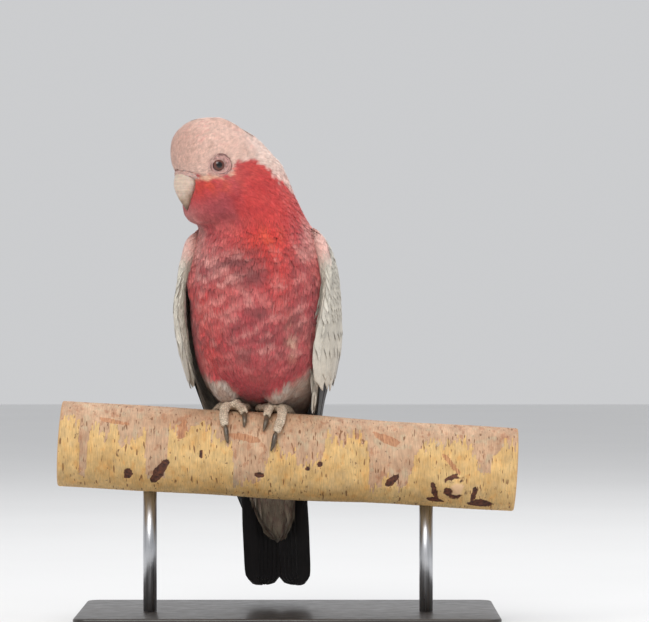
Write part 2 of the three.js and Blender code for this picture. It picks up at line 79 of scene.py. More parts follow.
perch_axis = Matrix.Translation((BIRD_X, PERCH_Y, PERCH_TOP - PERCH_RADIUS))
perch_space = perch_axis @ Matrix.Rotation(PERCH_SLOPE, 4, "Y")
bird_space = Matrix.Translation((BIRD_X, PERCH_Y, PERCH_TOP)) @ Matrix.Rotation(BODY_TURN, 4, "Z")
head_space = (
    bird_space
    @ Matrix.Translation(HEAD_CENTRE)
    @ Matrix.Rotation(HEAD_TURN, 4, "Z")
    @ Matrix.Rotation(HEAD_NOD, 4, "X")
)
print(f"perch top at {PERCH_TOP / MM:.1f} mm, perch axis at y {PERCH_Y / MM:.1f} mm")

# %% [markdown]
# ## Small tools
#
# Blender's Python is at its best with whole arrays, so points travel as numpy rows. These few helpers turn
# rows between spaces, blend between values, and give soft seeded waves that break up every hard border.

# %% Array helpers
def to_space(points, space):
    """World points as rows of coordinates in a space, in millimetres."""
    matrix = np.array(space.inverted())
    return (points @ matrix[:3, :3].T + matrix[:3, 3]) / MM


def to_world(points, space):
    """Rows of millimetres in a space as world points in metres."""
    matrix = np.array(space)
    return (points * MM) @ matrix[:3, :3].T + matrix[:3, 3]


def turned(vectors, space):
    """Directions in a space as world directions."""
    return vectors @ np.array(space)[:3, :3].T


def unit(vectors):
    return vectors / np.maximum(np.linalg.norm(vectors, axis=-1, keepdims=True), 1e-12)


def ease(low, high, value):
    """0 below low, 1 above high, and a smooth slope between."""
    share = np.clip((value - low) / (high - low), 0, 1)
    return share * share * (3 - 2 * share)


def bell(value, middle, width):
    """1 in the middle, falling softly towards 0 beyond the width on either side."""
    return np.exp(-(((value - middle) / width) ** 2))


def waves(points, size, seed, octaves=3):
    """A soft random field from about -1 to 1, with features of that size in the points' own unit."""
    draw = np.random.default_rng(seed)
    total = np.zeros(len(points))
    for octave in range(octaves):
        heading = unit(draw.normal(size=(5, 3))) * 2 * math.pi / size * 1.9**octave
        phase = draw.uniform(0, 2 * math.pi, 5)
        total += np.sin(points @ heading.T + phase).sum(axis=1) / 2.6 / 1.8**octave
    return total / 1.6


def through(rows, share):
    """Smooth values through evenly placed rows of numbers, at shares from 0 to 1."""
    rows = np.asarray(rows, float)
    padded = np.vstack([2 * rows[0] - rows[1], rows, 2 * rows[-1] - rows[-2]])
    place = np.clip(np.asarray(share, float), 0, 1) * (len(rows) - 1)
    step = np.minimum(place.astype(int), len(rows) - 2)
    t = (place - step)[..., None]
    a, b, c, d = (padded[step + k] for k in range(4))
    return 0.5 * (2 * b + (c - a) * t + (2 * a - 5 * b + 4 * c - d) * t**2 + (3 * b - a - 3 * c + d) * t**3)


print("helpers ready")

# %% [markdown]
# Every finished piece is one mesh object at the origin, with its place in its points, smooth shaded, riding
# on the model's only body. The helpers that make a mesh shade it smooth; `piece` does the rest and says what
# it made.

# %% Mesh helpers
def piece(name, mesh, material, replaces=()):
    """Puts a mesh in the scene as a finished piece of the model."""
    mesh.name = name
    thing = bpy.data.objects.new(name, mesh)
    bpy.context.scene.collection.objects.link(thing)
    mesh.materials.clear()
    mesh.materials.append(material)
    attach(thing, "root")
    if replaces:
        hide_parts(*replaces)
    mesh.calc_loop_triangles()
    print(f"{name}: {len(mesh.loop_triangles)} triangles")
    return thing


def finish_bmesh(form, outwards=True):
    """A bmesh as a smooth mesh, with its faces turned outwards."""
    if outwards:
        bmesh.ops.recalc_face_normals(form, faces=form.faces)
    mesh = bpy.data.meshes.new("form")
    form.to_mesh(mesh)
    form.free()
    shade_smooth(mesh)
    return mesh


def shade_smooth(mesh):
    mesh.polygons.foreach_set("use_smooth", [True] * len(mesh.polygons))


def place_verts(form, points, space):
    """Moves a bmesh's points to rows of coordinates in a space."""
    for vert, spot_on in zip(form.verts, to_world(points, space)):
        vert.co = spot_on


print("piece helpers ready")

# %% [markdown]
# Points and colours go in and out of meshes as whole arrays. Solids come in as copies, so that the loaded
# ones are never changed, and modifiers are worked out on an object that is thrown away.

# %% Read, write, copy and modify meshes
def read_points(mesh):
    points = np.empty(len(mesh.vertices) * 3, np.float32)
    mesh.vertices.foreach_get("co", points)
    return points.reshape(-1, 3).astype(float)


def write_points(mesh, points):
    mesh.vertices.foreach_set("co", np.asarray(points, np.float32).ravel())
    mesh.update()


def store(mesh, name, values):
    """Keeps up to four numbers a point under a name that a material can read."""
    packed = np.ones((len(mesh.vertices), 4), np.float32)
    packed[:, : values.shape[1]] = values
    layer = mesh.attributes.new(name, "FLOAT_COLOR", "POINT")
    layer.data.foreach_set("color", packed.ravel())


def solid_copy(*nodes, grow=0.0):
    """A bmesh of some solids together, each closed and merged, swollen a little if asked."""
    joined = bmesh.new()
    for node in nodes:
        part = bmesh.new()
        part.from_mesh(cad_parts[node].data)
        part.transform(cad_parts[node].matrix_world)
        bmesh.ops.remove_doubles(part, verts=part.verts, dist=0.01 * MM)
        part.normal_update()
        for vert in part.verts:
            vert.co += vert.normal * grow
        mesh = bpy.data.meshes.new("part")
        part.to_mesh(mesh)
        part.free()
        joined.from_mesh(mesh)
        bpy.data.meshes.remove(mesh)
    return joined


def with_modifiers(mesh, *settings):
    """The mesh after some modifiers, each given as (type, {its settings})."""
    thing = bpy.data.objects.new("work", mesh)
    bpy.context.scene.collection.objects.link(thing)
    for kind, values in settings:
        modifier = thing.modifiers.new(kind, kind)
        for key, value in values.items():
            setattr(modifier, key, value)
    graph = bpy.context.evaluated_depsgraph_get()
    result = bpy.data.meshes.new_from_object(thing.evaluated_get(graph))
    bpy.data.objects.remove(thing)
    shade_smooth(result)
    return result


print("mesh helpers ready")

# %% [markdown]
# ## Finishes
#
# A material is a small graph of nodes. This class keeps the graph readable: each method adds one node, joins
# what it is given, and hands back the socket that the next call uses. Numbers that are the same all over the
# surface are set on the shader itself.

# %% A short way to write node graphs
def srgb(red, green, blue):
    """A colour as a screen shows it, 0 to 255, as the linear numbers that a shader wants."""
    share = [value / 255 for value in (red, green, blue)]
    linear = [v / 12.92 if v <= 0.04045 else ((v + 0.055) / 1.055) ** 2.4 for v in share]
    return (*linear, 1.0)


class Finish:
    def __init__(self, name, **shader):
        self.material = bpy.data.materials.new(name)
        self.material.use_nodes = True
        self.nodes = self.material.node_tree.nodes
        self.shader = self.nodes["Principled BSDF"]
        for key, value in shader.items():
            self.shader.inputs[key.replace("_", " ").title().replace("Ior", "IOR")].default_value = value

    def join(self, value, socket):
        if isinstance(value, bpy.types.NodeSocket):
            self.material.node_tree.links.new(value, socket)
        else:
            socket.default_value = value

    def place(self, scale=(1, 1, 1), turn=(0, 0, 0)):
        """Object coordinates, stretched or turned."""
        mapping = self.nodes.new("ShaderNodeMapping")
        self.join(self.nodes.new("ShaderNodeTexCoord").outputs["Object"], mapping.inputs["Vector"])
        mapping.inputs["Scale"].default_value = scale
        mapping.inputs["Rotation"].default_value = turn
        return mapping.outputs["Vector"]

    def stored(self, name):
        node = self.nodes.new("ShaderNodeAttribute")
        node.attribute_name = name
        return node.outputs["Color"]

    def split(self, value):
        node = self.nodes.new("ShaderNodeSeparateColor")
        self.join(value, node.inputs[0])
        return node.outputs[0], node.outputs[1], node.outputs[2]

    def noise(self, where, scale, detail=4.0):
        node = self.nodes.new("ShaderNodeTexNoise")
        self.join(where, node.inputs["Vector"])
        node.inputs["Scale"].default_value = scale
        node.inputs["Detail"].default_value = detail
        node.inputs["Roughness"].default_value = 0.55
        return node.outputs["Fac"]

    def cells(self, where, scale, feature="F1"):
        node = self.nodes.new("ShaderNodeTexVoronoi")
        node.feature = feature
        self.join(where, node.inputs["Vector"])
        node.inputs["Scale"].default_value = scale
        return node.outputs["Distance"]

    def ramp(self, value, *stops):
        """Colours or grey levels at places from 0 to 1."""
        node = self.nodes.new("ShaderNodeValToRGB")
        self.join(value, node.inputs["Fac"])
        band = node.color_ramp
        for place, colour in stops[2:]:
            band.elements.new(place)
        for element, (place, colour) in zip(band.elements, stops):
            element.position = place
            element.color = colour if isinstance(colour, tuple) else (colour, colour, colour, 1)
        return node.outputs["Color"]

    def mix(self, share, first, second, blend="MIX"):
        node = self.nodes.new("ShaderNodeMix")
        node.data_type = "RGBA"
        node.blend_type = blend
        self.join(share, node.inputs["Factor"])
        self.join(first, node.inputs[6])
        self.join(second, node.inputs[7])
        return node.outputs[2]

    def times(self, colour, *levels):
        """A colour made lighter or darker by each level in turn."""
        for level in levels:
            colour = self.mix(1.0, colour, level, "MULTIPLY")
        return colour

    def cloud(self, where, scale, detail, *stops):
        """Noise through a ramp."""
        return self.ramp(self.noise(where, scale, detail), *stops)

    def sum(self, operation, first, second=0.0, third=0.0):
        node = self.nodes.new("ShaderNodeMath")
        node.operation = operation
        for value, socket in zip((first, second, third), node.inputs):
            self.join(value, socket)
        return node.outputs[0]

    def colour(self, value):
        self.join(value, self.shader.inputs["Base Color"])

    def rough(self, value):
        self.join(value, self.shader.inputs["Roughness"])

    def bump(self, height, distance, strength):
        node = self.nodes.new("ShaderNodeBump")
        node.inputs["Strength"].default_value = strength
        node.inputs["Distance"].default_value = distance
        self.join(height, node.inputs["Height"])
        self.join(node.outputs["Normal"], self.shader.inputs["Normal"])


print("finish helper ready")

# %% [markdown]
# ## The form under the coat
#
# On a living bird the outline is the outside of the feathers, and the skin lies a few millimetres inside it.
# The solids give the outline, parted by thin gaps. Copies of them are swollen until they touch and remeshed
# together: that gives one closed form to walk feathers over. Pads, which are chains of balls, fill the slots
# between breast and wings and between rump and tail coverts. Everything on the bird is worked out in the
# bird's own space, in millimetres.

# %% Make the outer form of the body
FLESH = ("trunk", "back", "neck", "head", "crest", "thigh_left", "thigh_right")
COVERTS = ("uppertail_coverts", "undertail_coverts")
EYES = ("eye_left", "eye_right")
SWELL = 0.4 * MM


class Surface:
    """A form in the bird's space that can be walked on."""

    def __init__(self, mesh):
        mesh.calc_loop_triangles()
        self.points = to_space(read_points(mesh), bird_space)
        self.faces = np.array([tri.vertices for tri in mesh.loop_triangles])
        self.tree = BVHTree.FromPolygons(self.points.tolist(), self.faces.tolist())
        a, b, c = (self.points[self.faces[:, k]] for k in range(3))
        cross = np.cross(b - a, c - a)
        self.areas = np.linalg.norm(cross, axis=1) / 2
        self.normals = np.zeros_like(self.points)
        for k in range(3):
            np.add.at(self.normals, self.faces[:, k], cross)
        self.normals = unit(self.normals)

    def nearest(self, points):
        """The closest points of the form and the smooth outward directions there."""
        hits = [self.tree.find_nearest(point) for point in points.tolist()]
        where = np.array([hit[0] for hit in hits])
        corners = self.faces[[hit[2] for hit in hits]]
        near = 1 / (np.linalg.norm(self.points[corners] - where[:, None], axis=2) + 0.2)
        return where, unit((self.normals[corners] * near[..., None]).sum(axis=1))


# x, y, z and radius of the balls; each has a twin on the other side
BREAST_PADS = np.array(
    [
        [38.6, -8.0, 115.0, 3.6],
        [39.8, -12.5, 106.0, 4.8],
        [40.6, -15.5, 96.0, 5.4],
        [41.0, -17.0, 86.0, 5.2],
        [40.4, -17.5, 77.0, 4.4],
    ]
)
RUMP_PADS = [
    (0.5, 48.5, -3.0, 8.0),
    (0.5, 50.5, -12.0, 8.0),
    (9.0, 49.0, -6.0, 6.5),
    (9.0, 51.0, -15.0, 6.5),
    (0.5, 53.0, -21.0, 7.0),
]
body_form = solid_copy(*FLESH, *COVERTS, *EYES, grow=SWELL)
for side in (1, -1):
    for x, y, z, radius in through(BREAST_PADS, np.linspace(0, 1, 16)).tolist() + RUMP_PADS:
        middle = bird_space @ Matrix.Translation(Vector((side * x, y, z)) * MM)
        bmesh.ops.create_icosphere(body_form, subdivisions=2, radius=radius * MM, matrix=middle)
body_mesh = with_modifiers(
    finish_bmesh(body_form),
    ("REMESH", {"mode": "VOXEL", "voxel_size": 1.5 * MM}),
    ("SMOOTH", {"factor": 0.6, "iterations": 8}),
)
body = Surface(body_mesh)
print(f"body form: {len(body.faces)} triangles, {body.areas.sum() / 100:.0f} square cm")

# %% [markdown]
# ## Markings
#
# Skin and feathers carry the same colours, so the colours are one function of place. It starts from rose and
# lays one soft patch after another over it: grey behind, taupe under the tail, the pale cap, the hot red of
# throat and cheek, and the dusky ripples across the breast, where the grey down shows between the feathers.

# %% Name the colours of the plumage
PLUMAGE = {
    "rose": srgb(206, 88, 90),
    "light rose": srgb(220, 118, 110),
    "deep rose": srgb(172, 52, 62),
    "hot": srgb(222, 64, 56),
    "orange": srgb(240, 104, 76),
    "mauve": srgb(176, 80, 86),
    "dusk": srgb(126, 74, 74),
    "blush": srgb(234, 172, 162),
    "cap": srgb(242, 206, 190),
    "cap streak": srgb(240, 168, 158),
    "cap light": srgb(250, 226, 214),
    "cap shade": srgb(206, 162, 146),
    "cream": srgb(246, 208, 176),
    "grey": srgb(206, 205, 196),
    "mantle": srgb(176, 176, 172),
    "taupe": srgb(184, 157, 140),
    # darker grey under the tail: partly its own colour, partly painted shade under the perch
    "vent": srgb(142, 130, 113),
    "bare": srgb(206, 168, 158),
}
PLUMAGE = {name: np.array(colour[:3]) for name, colour in PLUMAGE.items()}
print(f"{len(PLUMAGE)} plumage colours")

# %% [markdown]
# Many borders on the head are given in the head's own space, and the bare rings are measured from the eyes.

# %% Find places on the head
def in_head(points):
    """Points of the bird in the head's space."""
    matrix = np.array(head_space.inverted() @ bird_space)
    return points @ matrix[:3, :3].T + matrix[:3, 3] / MM


EYE_LOOK = unit(np.array([0.966, -0.25, 0.06]))  # outwards from the bird's left eye, in head space
EYE_RADIUS = 5.2
EYE_AT = np.array([18.9, -10, -1.5])


def side_eye(hx):
    """The front of the nearer eye for points on either side of the head."""
    here = np.tile(EYE_AT + EYE_LOOK * EYE_RADIUS, (len(hx), 1))
    here[:, 0] *= np.sign(hx + 1e-9)
    return here


print(f"an eye is {2 * EYE_RADIUS} mm across")

# %% [markdown]
# Each layer of colour is laid over the last with a weight from 0 to 1. Weights are products of soft edges,
# spots and waves, all in millimetres.

# %% Lay the colours of the body
def spot(across, up, centre, radii):
    """1 at a place on the breast and less around it."""
    away = ((across - centre[0]) / radii[0]) ** 2 + ((up - centre[1]) / radii[1]) ** 2
    return np.exp(-away)


def markings(points):
    """The colour of skin and feathers at points of the bird."""
    colour = np.tile(PLUMAGE["rose"], (len(points), 1))

    def lay(name, weight):
        colour[:] += (PLUMAGE[name] - colour) * np.clip(weight, 0, 1)[:, None]

    fine = waves(points, 9, 12)
    ripple = waves(points * (0.22, 0.3, 1), 6, 13)
    mark_breast(lay, points, fine, ripple)
    mark_grey_parts(lay, points, fine)
    mark_head(lay, points, fine, ripple)
    return colour


def mark_breast(lay, points, fine, ripple):
    """Hot red in the middle, paler and duskier ripples on either side and down the belly."""
    x, y, z = points.T
    broad = waves(points, 34, 11)
    lay("light rose", 0.55 * ease(-0.1, 0.9, broad + 0.4 * fine))
    lay("deep rose", 0.45 * ease(0.1, 1.0, -broad + 0.5 * fine))
    front = ease(12, -12, y)
    at = lambda across, up, wide, high: front * spot(x, z, (across, up), (wide, high))
    lay("hot", 0.95 * at(7, 113, 17, 14) + 0.6 * at(20, 92, 10, 26))
    lay("orange", 0.7 * at(13, 116, 8, 7) * ease(-0.5, 0.6, fine))
    lay("hot", 0.55 * (at(-32, 70, 12, 14) + at(-27, 38, 10, 16)))
    lay("blush", 0.55 * at(-27, 100, 12, 9) * ease(-0.7, 0.5, fine))
    lay("dusk", (at(-9, 93, 27, 8) + 0.5 * at(-5, 104, 16, 6)) * ease(-0.2, 0.5, ripple) * 0.95)
    lay("blush", 0.6 * at(-8, 88, 30, 7) * ease(0.2, 1.1, -ripple))
    lay("blush", 0.75 * at(-26, 91, 15, 13) * ease(0.0, 0.7, -ripple))
    lay("dusk", 0.5 * (at(-1, 96, 15, 14) + at(31, 57, 9, 16) + at(-10, 128, 15, 6)))
    belly = at(6, 50, 22, 24)
    lay("mauve", belly * 0.55)
    lay("dusk", belly * ease(0.15, 0.65, ripple) * 0.9)
    lay("blush", belly * ease(0.2, 0.8, -ripple) * 0.55)
    lay("blush", 0.8 * at(3, 73, 7, 4) * ease(-0.6, 0.4, fine))
    lay("cream", 0.75 * at(27, 46, 2.6, 12) * ease(-0.5, 0.5, ripple))
    lay("deep rose", front * 0.6 * ease(34, 8, z))
    thin = waves(points * (0.3, 0.35, 1.5), 6, 17)
    spread = front * ease(20, 40, z) * ease(118, 100, z)
    lay("blush", spread * 0.42 * ease(0.15, 0.7, thin))
    lay("dusk", spread * 0.5 * ease(0.15, 0.7, -thin))


def mark_grey_parts(lay, points, fine):
    """Flanks, thighs, vent, back and rump."""
    x, y, z = points.T
    edge = 3 + 0.62 * np.abs(x + 2) + 0.9 * np.maximum(0, y - 6)
    edge = np.minimum(edge + 7 * spot(x, z, (-20, 14), (8, 9)) + 2 * fine, 62)
    lay("taupe", ease(3, -4, z - edge))
    lay("grey", 0.4 * ease(3, -4, z - edge) * ease(-0.2, 0.8, fine))
    # partly painted shade: the grey under the tail grows darker towards the bottom, below the perch's top
    lay("vent", ease(4, -14, z))
    lay("blush", 0.75 * ease(28, 38, np.abs(x) - 4 * fine) * ease(96, 106, z) * ease(140, 126, z))
    behind = ease(8, 22, y + 3 * fine - 0.35 * np.maximum(0, z - 116)) * ease(138, 122, z + 3 * fine)
    parting = np.where(z < 0, 46 - 0.31 * z, np.maximum(26, 46 - z))
    rear = ease(-4, 4, y - parting)
    lay("mantle", behind * np.where(z < 30, rear, 1))
    lay("grey", rear * ease(60, 20, z))


print("body markings ready")

# %% [markdown]
# The head is the most detailed part: a pale streaky cap, cream feathers and painted shade in the creases
# between bill and eye, and red cheeks that turn mauve below.

# %% Lay the colours of the head
# how far down the pale cap reaches, from the bill backwards, in head space
CAP_EDGE = [-3, 3, 17, 20, 26, 30, 38, 44, 50], [-7.4, 1.1, 1.3, -2, -6, -12, -17.5, -21, -24]


def mark_head(lay, points, fine, ripple):
    """Red cheeks, and a pale cap whose edge runs under the eye, up behind it and down the nape."""
    hx, hy, hz = in_head(points).T
    neck = ease(-52, -34, hz)
    lay("hot", 0.55 * neck * ease(-6, 10, hy + 4 * fine) * ease(8, -4, hz))
    lay("deep rose", 0.35 * neck * ease(0.1, 0.9, ripple))
    cheek = ease(2, -8, hy) * neck
    lay("orange", 0.75 * cheek * spot(hy, hz, (-16, -15), (14, 7)) * ease(-0.6, 0.5, fine))
    lay("hot", 0.6 * cheek * spot(hy, hz, (-22, -18), (10, 8)))
    lay("mauve", 0.85 * cheek * spot(hy, hz, (-10, -30), (16, 10)))
    ragged = waves(points, 5, 15, 2)
    over = hz - np.interp(hy, *CAP_EDGE) + 1.2 * fine + 2.8 * ragged * ease(14, 26, hy)
    cap = ease(-1.4, 1.6, over) * neck
    lay("cream", 0.85 * neck * ease(-4.6, -1.5, over) * ease(1, -3, hy) * ease(-0.7, 0.3, fine))
    lay("cap", cap)
    # painted shade: dusky lines in the creases between bill and eye
    crease = waves(in_head(points) * (1, 0.6, 1.3), 1.6, 18)
    lay("dusk", 0.75 * neck * spot(hy, hz, (-15, -4.6), (12, 2.6)) * ease(0.1, 0.6, crease))
    streak = waves(in_head(points) * (1, 0.25, 1), 3.2, 14)
    lay("cap streak", cap * 0.6 * ease(0.2, 1.1, streak) * ease(4, 16, hz))
    lay("cap shade", cap * 0.7 * ease(0.1, 1.2, -streak) * ease(0, 14, hz))
    lay("cap shade", cap * 0.5 * ease(-12, -30, hy) * ease(-6, 4, hz))
    lay("cap light", cap * 0.7 * ease(6, 24, hy + 4 * fine))
    lay("blush", cap * 0.35 * ease(0, -14, hz) * ease(10, 26, hy))
    lay("bare", 0.8 * ease(9, 6, np.linalg.norm(in_head(points) - side_eye(hx), axis=1)))


print("head markings ready")

# %% [markdown]
# ## A pattern feather
#
# A feather is a grid bent to a feather's outline, with its last row pulled into teeth, where real barbs
# part. One pattern is laid along thousands of lines with whole-array arithmetic, which is far quicker than
# thousands of objects, and stays real geometry.

# %% Patterns, and laying them along lines
class Pattern:
    """A flat feather: along runs from 0 at the root to 1 at the tip, across from -1 to 1."""

    def __init__(self, across, along, shape, teeth=0.0, thick=0.0):
        form = bmesh.new()
        bmesh.ops.create_grid(form, x_segments=across, y_segments=along, size=1)
        columns = sorted({round(vert.co.x, 4) for vert in form.verts})
        if thick:
            bmesh.ops.solidify(form, geom=form.faces[:], thickness=-thick)
        form.verts.index_update()
        flat = np.array([vert.co for vert in form.verts])
        self.faces = [[vert.index for vert in face.verts] for face in form.faces]
        form.free()
        self.level = flat[:, 2] / (thick or 1)
        self.side = flat[:, 0]
        self.along = (flat[:, 1] + 1) / 2
        column = np.array([columns.index(round(x, 4)) for x in flat[:, 0]])
        last = self.along > 0.999
        self.across = self.side * np.interp(self.along, *shape)
        self.along = self.along - self.side**2 * 0.16 * self.along**2
        self.along[last & (column % 2 == 1)] -= teeth
        self.across[last] = self.side[last] * np.interp(1 - 0.12 * (teeth > 0), *shape)


BODY_SHAPE = ([0, 0.25, 0.6, 0.85, 1], [0.6, 0.9, 1, 0.95, 0.7])
QUILL_SHAPE = ([0, 0.1, 0.5, 0.85, 0.95, 1], [0.25, 0.7, 1, 0.95, 0.7, 0.3])
contour = Pattern(12, 3, BODY_SHAPE, teeth=0.17)
small = Pattern(4, 2, BODY_SHAPE, teeth=0.34)
wisp = Pattern(1, 2, ([0, 0.45, 1], [0.6, 1, 0.02]))
covert = Pattern(8, 6, ([0, 0.2, 0.55, 0.75, 0.9, 1], [0.45, 0.85, 1, 0.96, 0.8, 0.45]))
quill = Pattern(6, 14, QUILL_SHAPE, thick=0.1)
for label, made in (("contour", contour), ("small", small), ("covert", covert), ("quill", quill)):
    print(f"{label} feather: {len(made.faces)} faces")

# %% [markdown]
# A feather follows its line: its middle runs along it, its sides spread square to it, and its height over
# the line rises from root to tip.

# %% Lay patterns along lines
def lay_feathers(pattern, line, out, half, rise, lean, camber, roll=0.0, thick=0.0):
    """Points of every feather: shape (feathers, points of the pattern, 3).

    half is its half width, rise its height over the line at root and tip, lean how far its tip stands to one
    side, camber how far its edges bend down, and roll how far it tips sideways.
    """
    spans = line.shape[1] - 1
    place = pattern.along * spans
    low = np.clip(place.astype(int), 0, spans - 1)
    share = (place - low)[None, :, None]
    centre = line[:, low] * (1 - share) + line[:, low + 1] * share
    normal = unit(out[:, low] * (1 - share) + out[:, low + 1] * share)
    tangent = np.gradient(line, axis=1)
    tangent = tangent[:, low] * (1 - share) + tangent[:, low + 1] * share
    sideways = unit(np.cross(tangent, normal))
    reach = pattern.across[None] * half[:, None]
    reach = reach + (lean * half)[:, None] * pattern.along[None] ** 1.5
    start, end = rise
    height = start[:, None] + (end - start)[:, None] * pattern.along[None] ** 0.8
    height = height - camber * half[:, None] * pattern.across[None] ** 2
    height = height + (roll * half)[:, None] * pattern.across[None]
    height = height + pattern.level[None] * thick
    return centre + sideways * reach[..., None] + normal * height[..., None]


print("feathers can be laid")

# %% [markdown]
# Thousands of laid feathers become one mesh. Each keeps its colour, its own place numbers, and a small patch
# of the coat's UV map at the place of its root on an unwrap of the bird.

# %% Join feathers into a piece
def array_mesh(points, pattern):
    """One mesh from many copies of a pattern's faces."""
    copies, each = points.shape[:2]
    sizes = np.array([len(face) for face in pattern.faces])
    corners = np.concatenate(pattern.faces)
    mesh = bpy.data.meshes.new("feathers")
    mesh.vertices.add(copies * each)
    mesh.vertices.foreach_set("co", points.astype(np.float32).ravel())
    mesh.loops.add(copies * len(corners))
    loops = (corners[None] + each * np.arange(copies)[:, None]).ravel()
    mesh.loops.foreach_set("vertex_index", loops.astype(np.int32))
    mesh.polygons.add(copies * len(sizes))
    starts = np.concatenate([[0], np.cumsum(sizes)[:-1]])
    starts = (starts[None] + len(corners) * np.arange(copies)[:, None]).ravel()
    mesh.polygons.foreach_set("loop_start", starts.astype(np.int32))
    mesh.polygons.foreach_set("use_smooth", [True] * (copies * len(sizes)))
    mesh.update()
    mesh.validate()
    return mesh


PATCH = 0.003  # each feather's own patch of the coat's UV map


def unwrap(points, axis_height=(-125, 200)):
    """A place on the bird's skin as two numbers: round the body and up it."""
    x, y, z = points.T
    middle = np.interp(z, [-120, -10, 40, 120, 200], [78, 50, 8, 0, -12])
    round_it = np.arctan2(x + 6 * ease(100, 165, z), middle - y) / (2 * math.pi) + 0.5
    up = (z - axis_height[0]) / (axis_height[1] - axis_height[0])
    return np.stack([round_it, up], axis=1) * (1 - 2 * PATCH) + PATCH


def coat_piece(name, material, pattern, points, roots, tint, seed, replaces=()):
    """A joined mesh of feathers with its colours, the place on each feather, and its UV map."""
    copies, each = points.shape[:2]
    mesh = array_mesh(to_world(points.reshape(-1, 3), bird_space).reshape(points.shape), pattern)
    chance = np.random.default_rng(seed).uniform(size=copies)
    vane = np.empty((copies, each, 3))
    vane[..., 0] = pattern.along
    vane[..., 1] = pattern.side * 0.5 + 0.5
    vane[..., 2] = chance[:, None]
    if tint.ndim == 2:
        tint = np.repeat(tint[:, None], each, axis=1)
    store(mesh, "tint", tint.reshape(-1, 3))
    store(mesh, "vane", vane.reshape(-1, 3))
    local = np.stack([pattern.side, 2 * pattern.along - 1], axis=1) * PATCH / 2
    places = (unwrap(roots)[:, None] + local[None]).reshape(-1, 2)
    corners = np.empty(len(mesh.loops), np.int32)
    mesh.loops.foreach_get("vertex_index", corners)
    layer = mesh.uv_layers.new(name="OFBake")
    layer.data.foreach_set("uv", places[corners].astype(np.float32).ravel())
    return piece(name, mesh, material, replaces)


print("coat helpers ready")

# %% [markdown]
# ## Feather material
#
# Every feather reads its own colour and its own place: how far along, how far across, and one random number.
# Barbs are slanted lines that leave the shaft, the root is darker, partly with grey down and partly as
# painted shade under the feathers that lie over it, and the tips wear paler.

# %% Make the feather materials
def feather_finish(name, root, tip, shaft=0.0, barbs=0.5, **shader):
    """How bright root, tip and shaft are, how strongly the barbs show, and the shader's own settings."""
    settings = {"roughness": 0.78, "sheen_weight": 0.18, "sheen_roughness": 0.5, "specular_ior_level": 0.25}
    look = Finish(name, **{**settings, **shader})
    along, across, chance = look.split(look.stored("vane"))
    out = look.sum("ABSOLUTE", look.sum("MULTIPLY_ADD", across, 2.0, -1.0))
    slant = look.sum("ADD", look.sum("MULTIPLY", along, 150.0), look.sum("MULTIPLY", out, -70.0))
    grain = look.noise(look.place(), 900.0, 3.0)
    line = look.sum("MULTIPLY_ADD", look.sum("SINE", slant), 0.5, 0.5)
    line = look.sum("MULTIPLY_ADD", grain, 0.8, look.sum("MULTIPLY", line, 0.6))
    # darker roots: partly grey down, partly painted shade under the overlying feathers; paler worn tips
    root_shade_and_tip_wear = look.ramp(along, (0.0, root), (0.5, 0.97), (0.86, 1.0), (1.0, tip))
    shade = look.ramp(chance, (0.0, 0.86), (1.0, 1.1))
    streak = look.ramp(line, (0.2, 1 - 0.3 * barbs), (1.1, 1 + 0.18 * barbs))
    mottle = look.cloud(look.place(), 260.0, 4.0, (0.3, 0.9), (0.7, 1.08))
    colour = look.times(look.stored("tint"), root_shade_and_tip_wear, shade, streak, mottle)
    if shaft:
        colour = look.times(colour, look.ramp(out, (0.0, shaft), (0.1, 1.0)))
    look.colour(colour)
    look.bump(line, 0.15 * MM, 0.6)
    return look.material


down = feather_finish("soft contour feathers", 0.8, 1.04)
head_down = feather_finish("fine head feathers", 0.86, 1.04, barbs=0.3)
wing_finish = feather_finish("smooth wing feathers", 0.8, 1.12, shaft=0.86, barbs=0.7, roughness=0.62)
flight_finish = feather_finish("dark flight feathers", 0.9, 0.9, shaft=1.5, barbs=0.8, roughness=0.5)
print("feather materials ready")

# %% [markdown]
# ## Where the skin lies and where it is bare
#
# The coat is deep on the body, thin on the head and thinnest on the face. Round each eye a ring of wrinkled
# skin is bare, wider behind the eye than in front, and the bill leaves a gap of its own.

# %% Depth of the coat and the bare places
def coat_depth(points):
    """How far the skin lies inside the outline."""
    _, hy, hz = in_head(points).T
    head = ease(-46, -32, hz)
    face = head * ease(4, -16, hy)
    low = ease(28, 8, points[:, 2])
    return 2.3 - 1.15 * head - 0.3 * face - 0.8 * low


def ring_reach(points):
    """How far points are from the nearer eye, as a share of the bare ring's reach in that direction."""
    away = in_head(points)
    away = away - side_eye(away[:, 0])
    flat = np.hypot(away[:, 1], away[:, 2])
    reach = 6.9 + 1.7 * away[:, 1] / np.maximum(flat, 1e-6)
    return np.where(np.abs(away[:, 0]) < 9, flat / reach, 9)


def cere_share(points):
    """Below 1 on the bare cere over the bill and the wrinkled corners beside it."""
    hx, hy, hz = in_head(points).T
    return (hx / 14.6) ** 2 + ((hy + 27) / 7.5) ** 2 + ((hz + 6.8) / 3.6) ** 2


bill = Surface(finish_bmesh(solid_copy("beak_upper", "beak_lower")))


def outside_of(surface, points):
    """Distance out of a form, negative inside it."""
    where, out = surface.nearest(points)
    return ((points - where) * out).sum(axis=1)


print("coat depth", [round(float(d), 2) for d in coat_depth(body.points[:3])])

# %% [markdown]
# ## Skin
#
# One skin runs over trunk, neck, head, thighs, tail root and wing arms, so that no seam shows between the
# feathers. The body's form is drawn in by the depth of the coat, thin cores of the wings are joined to it at
# the shoulders, and one more remesh makes them a single hide. The cores end where only long feathers follow.

# %% Make the one skin
SHOULDERS = [(side * 31.0, 6.0, 108.0) for side in (-1, 1)]
CORE_END = 44.0  # how far down the cores of the wings reach, under the secondaries

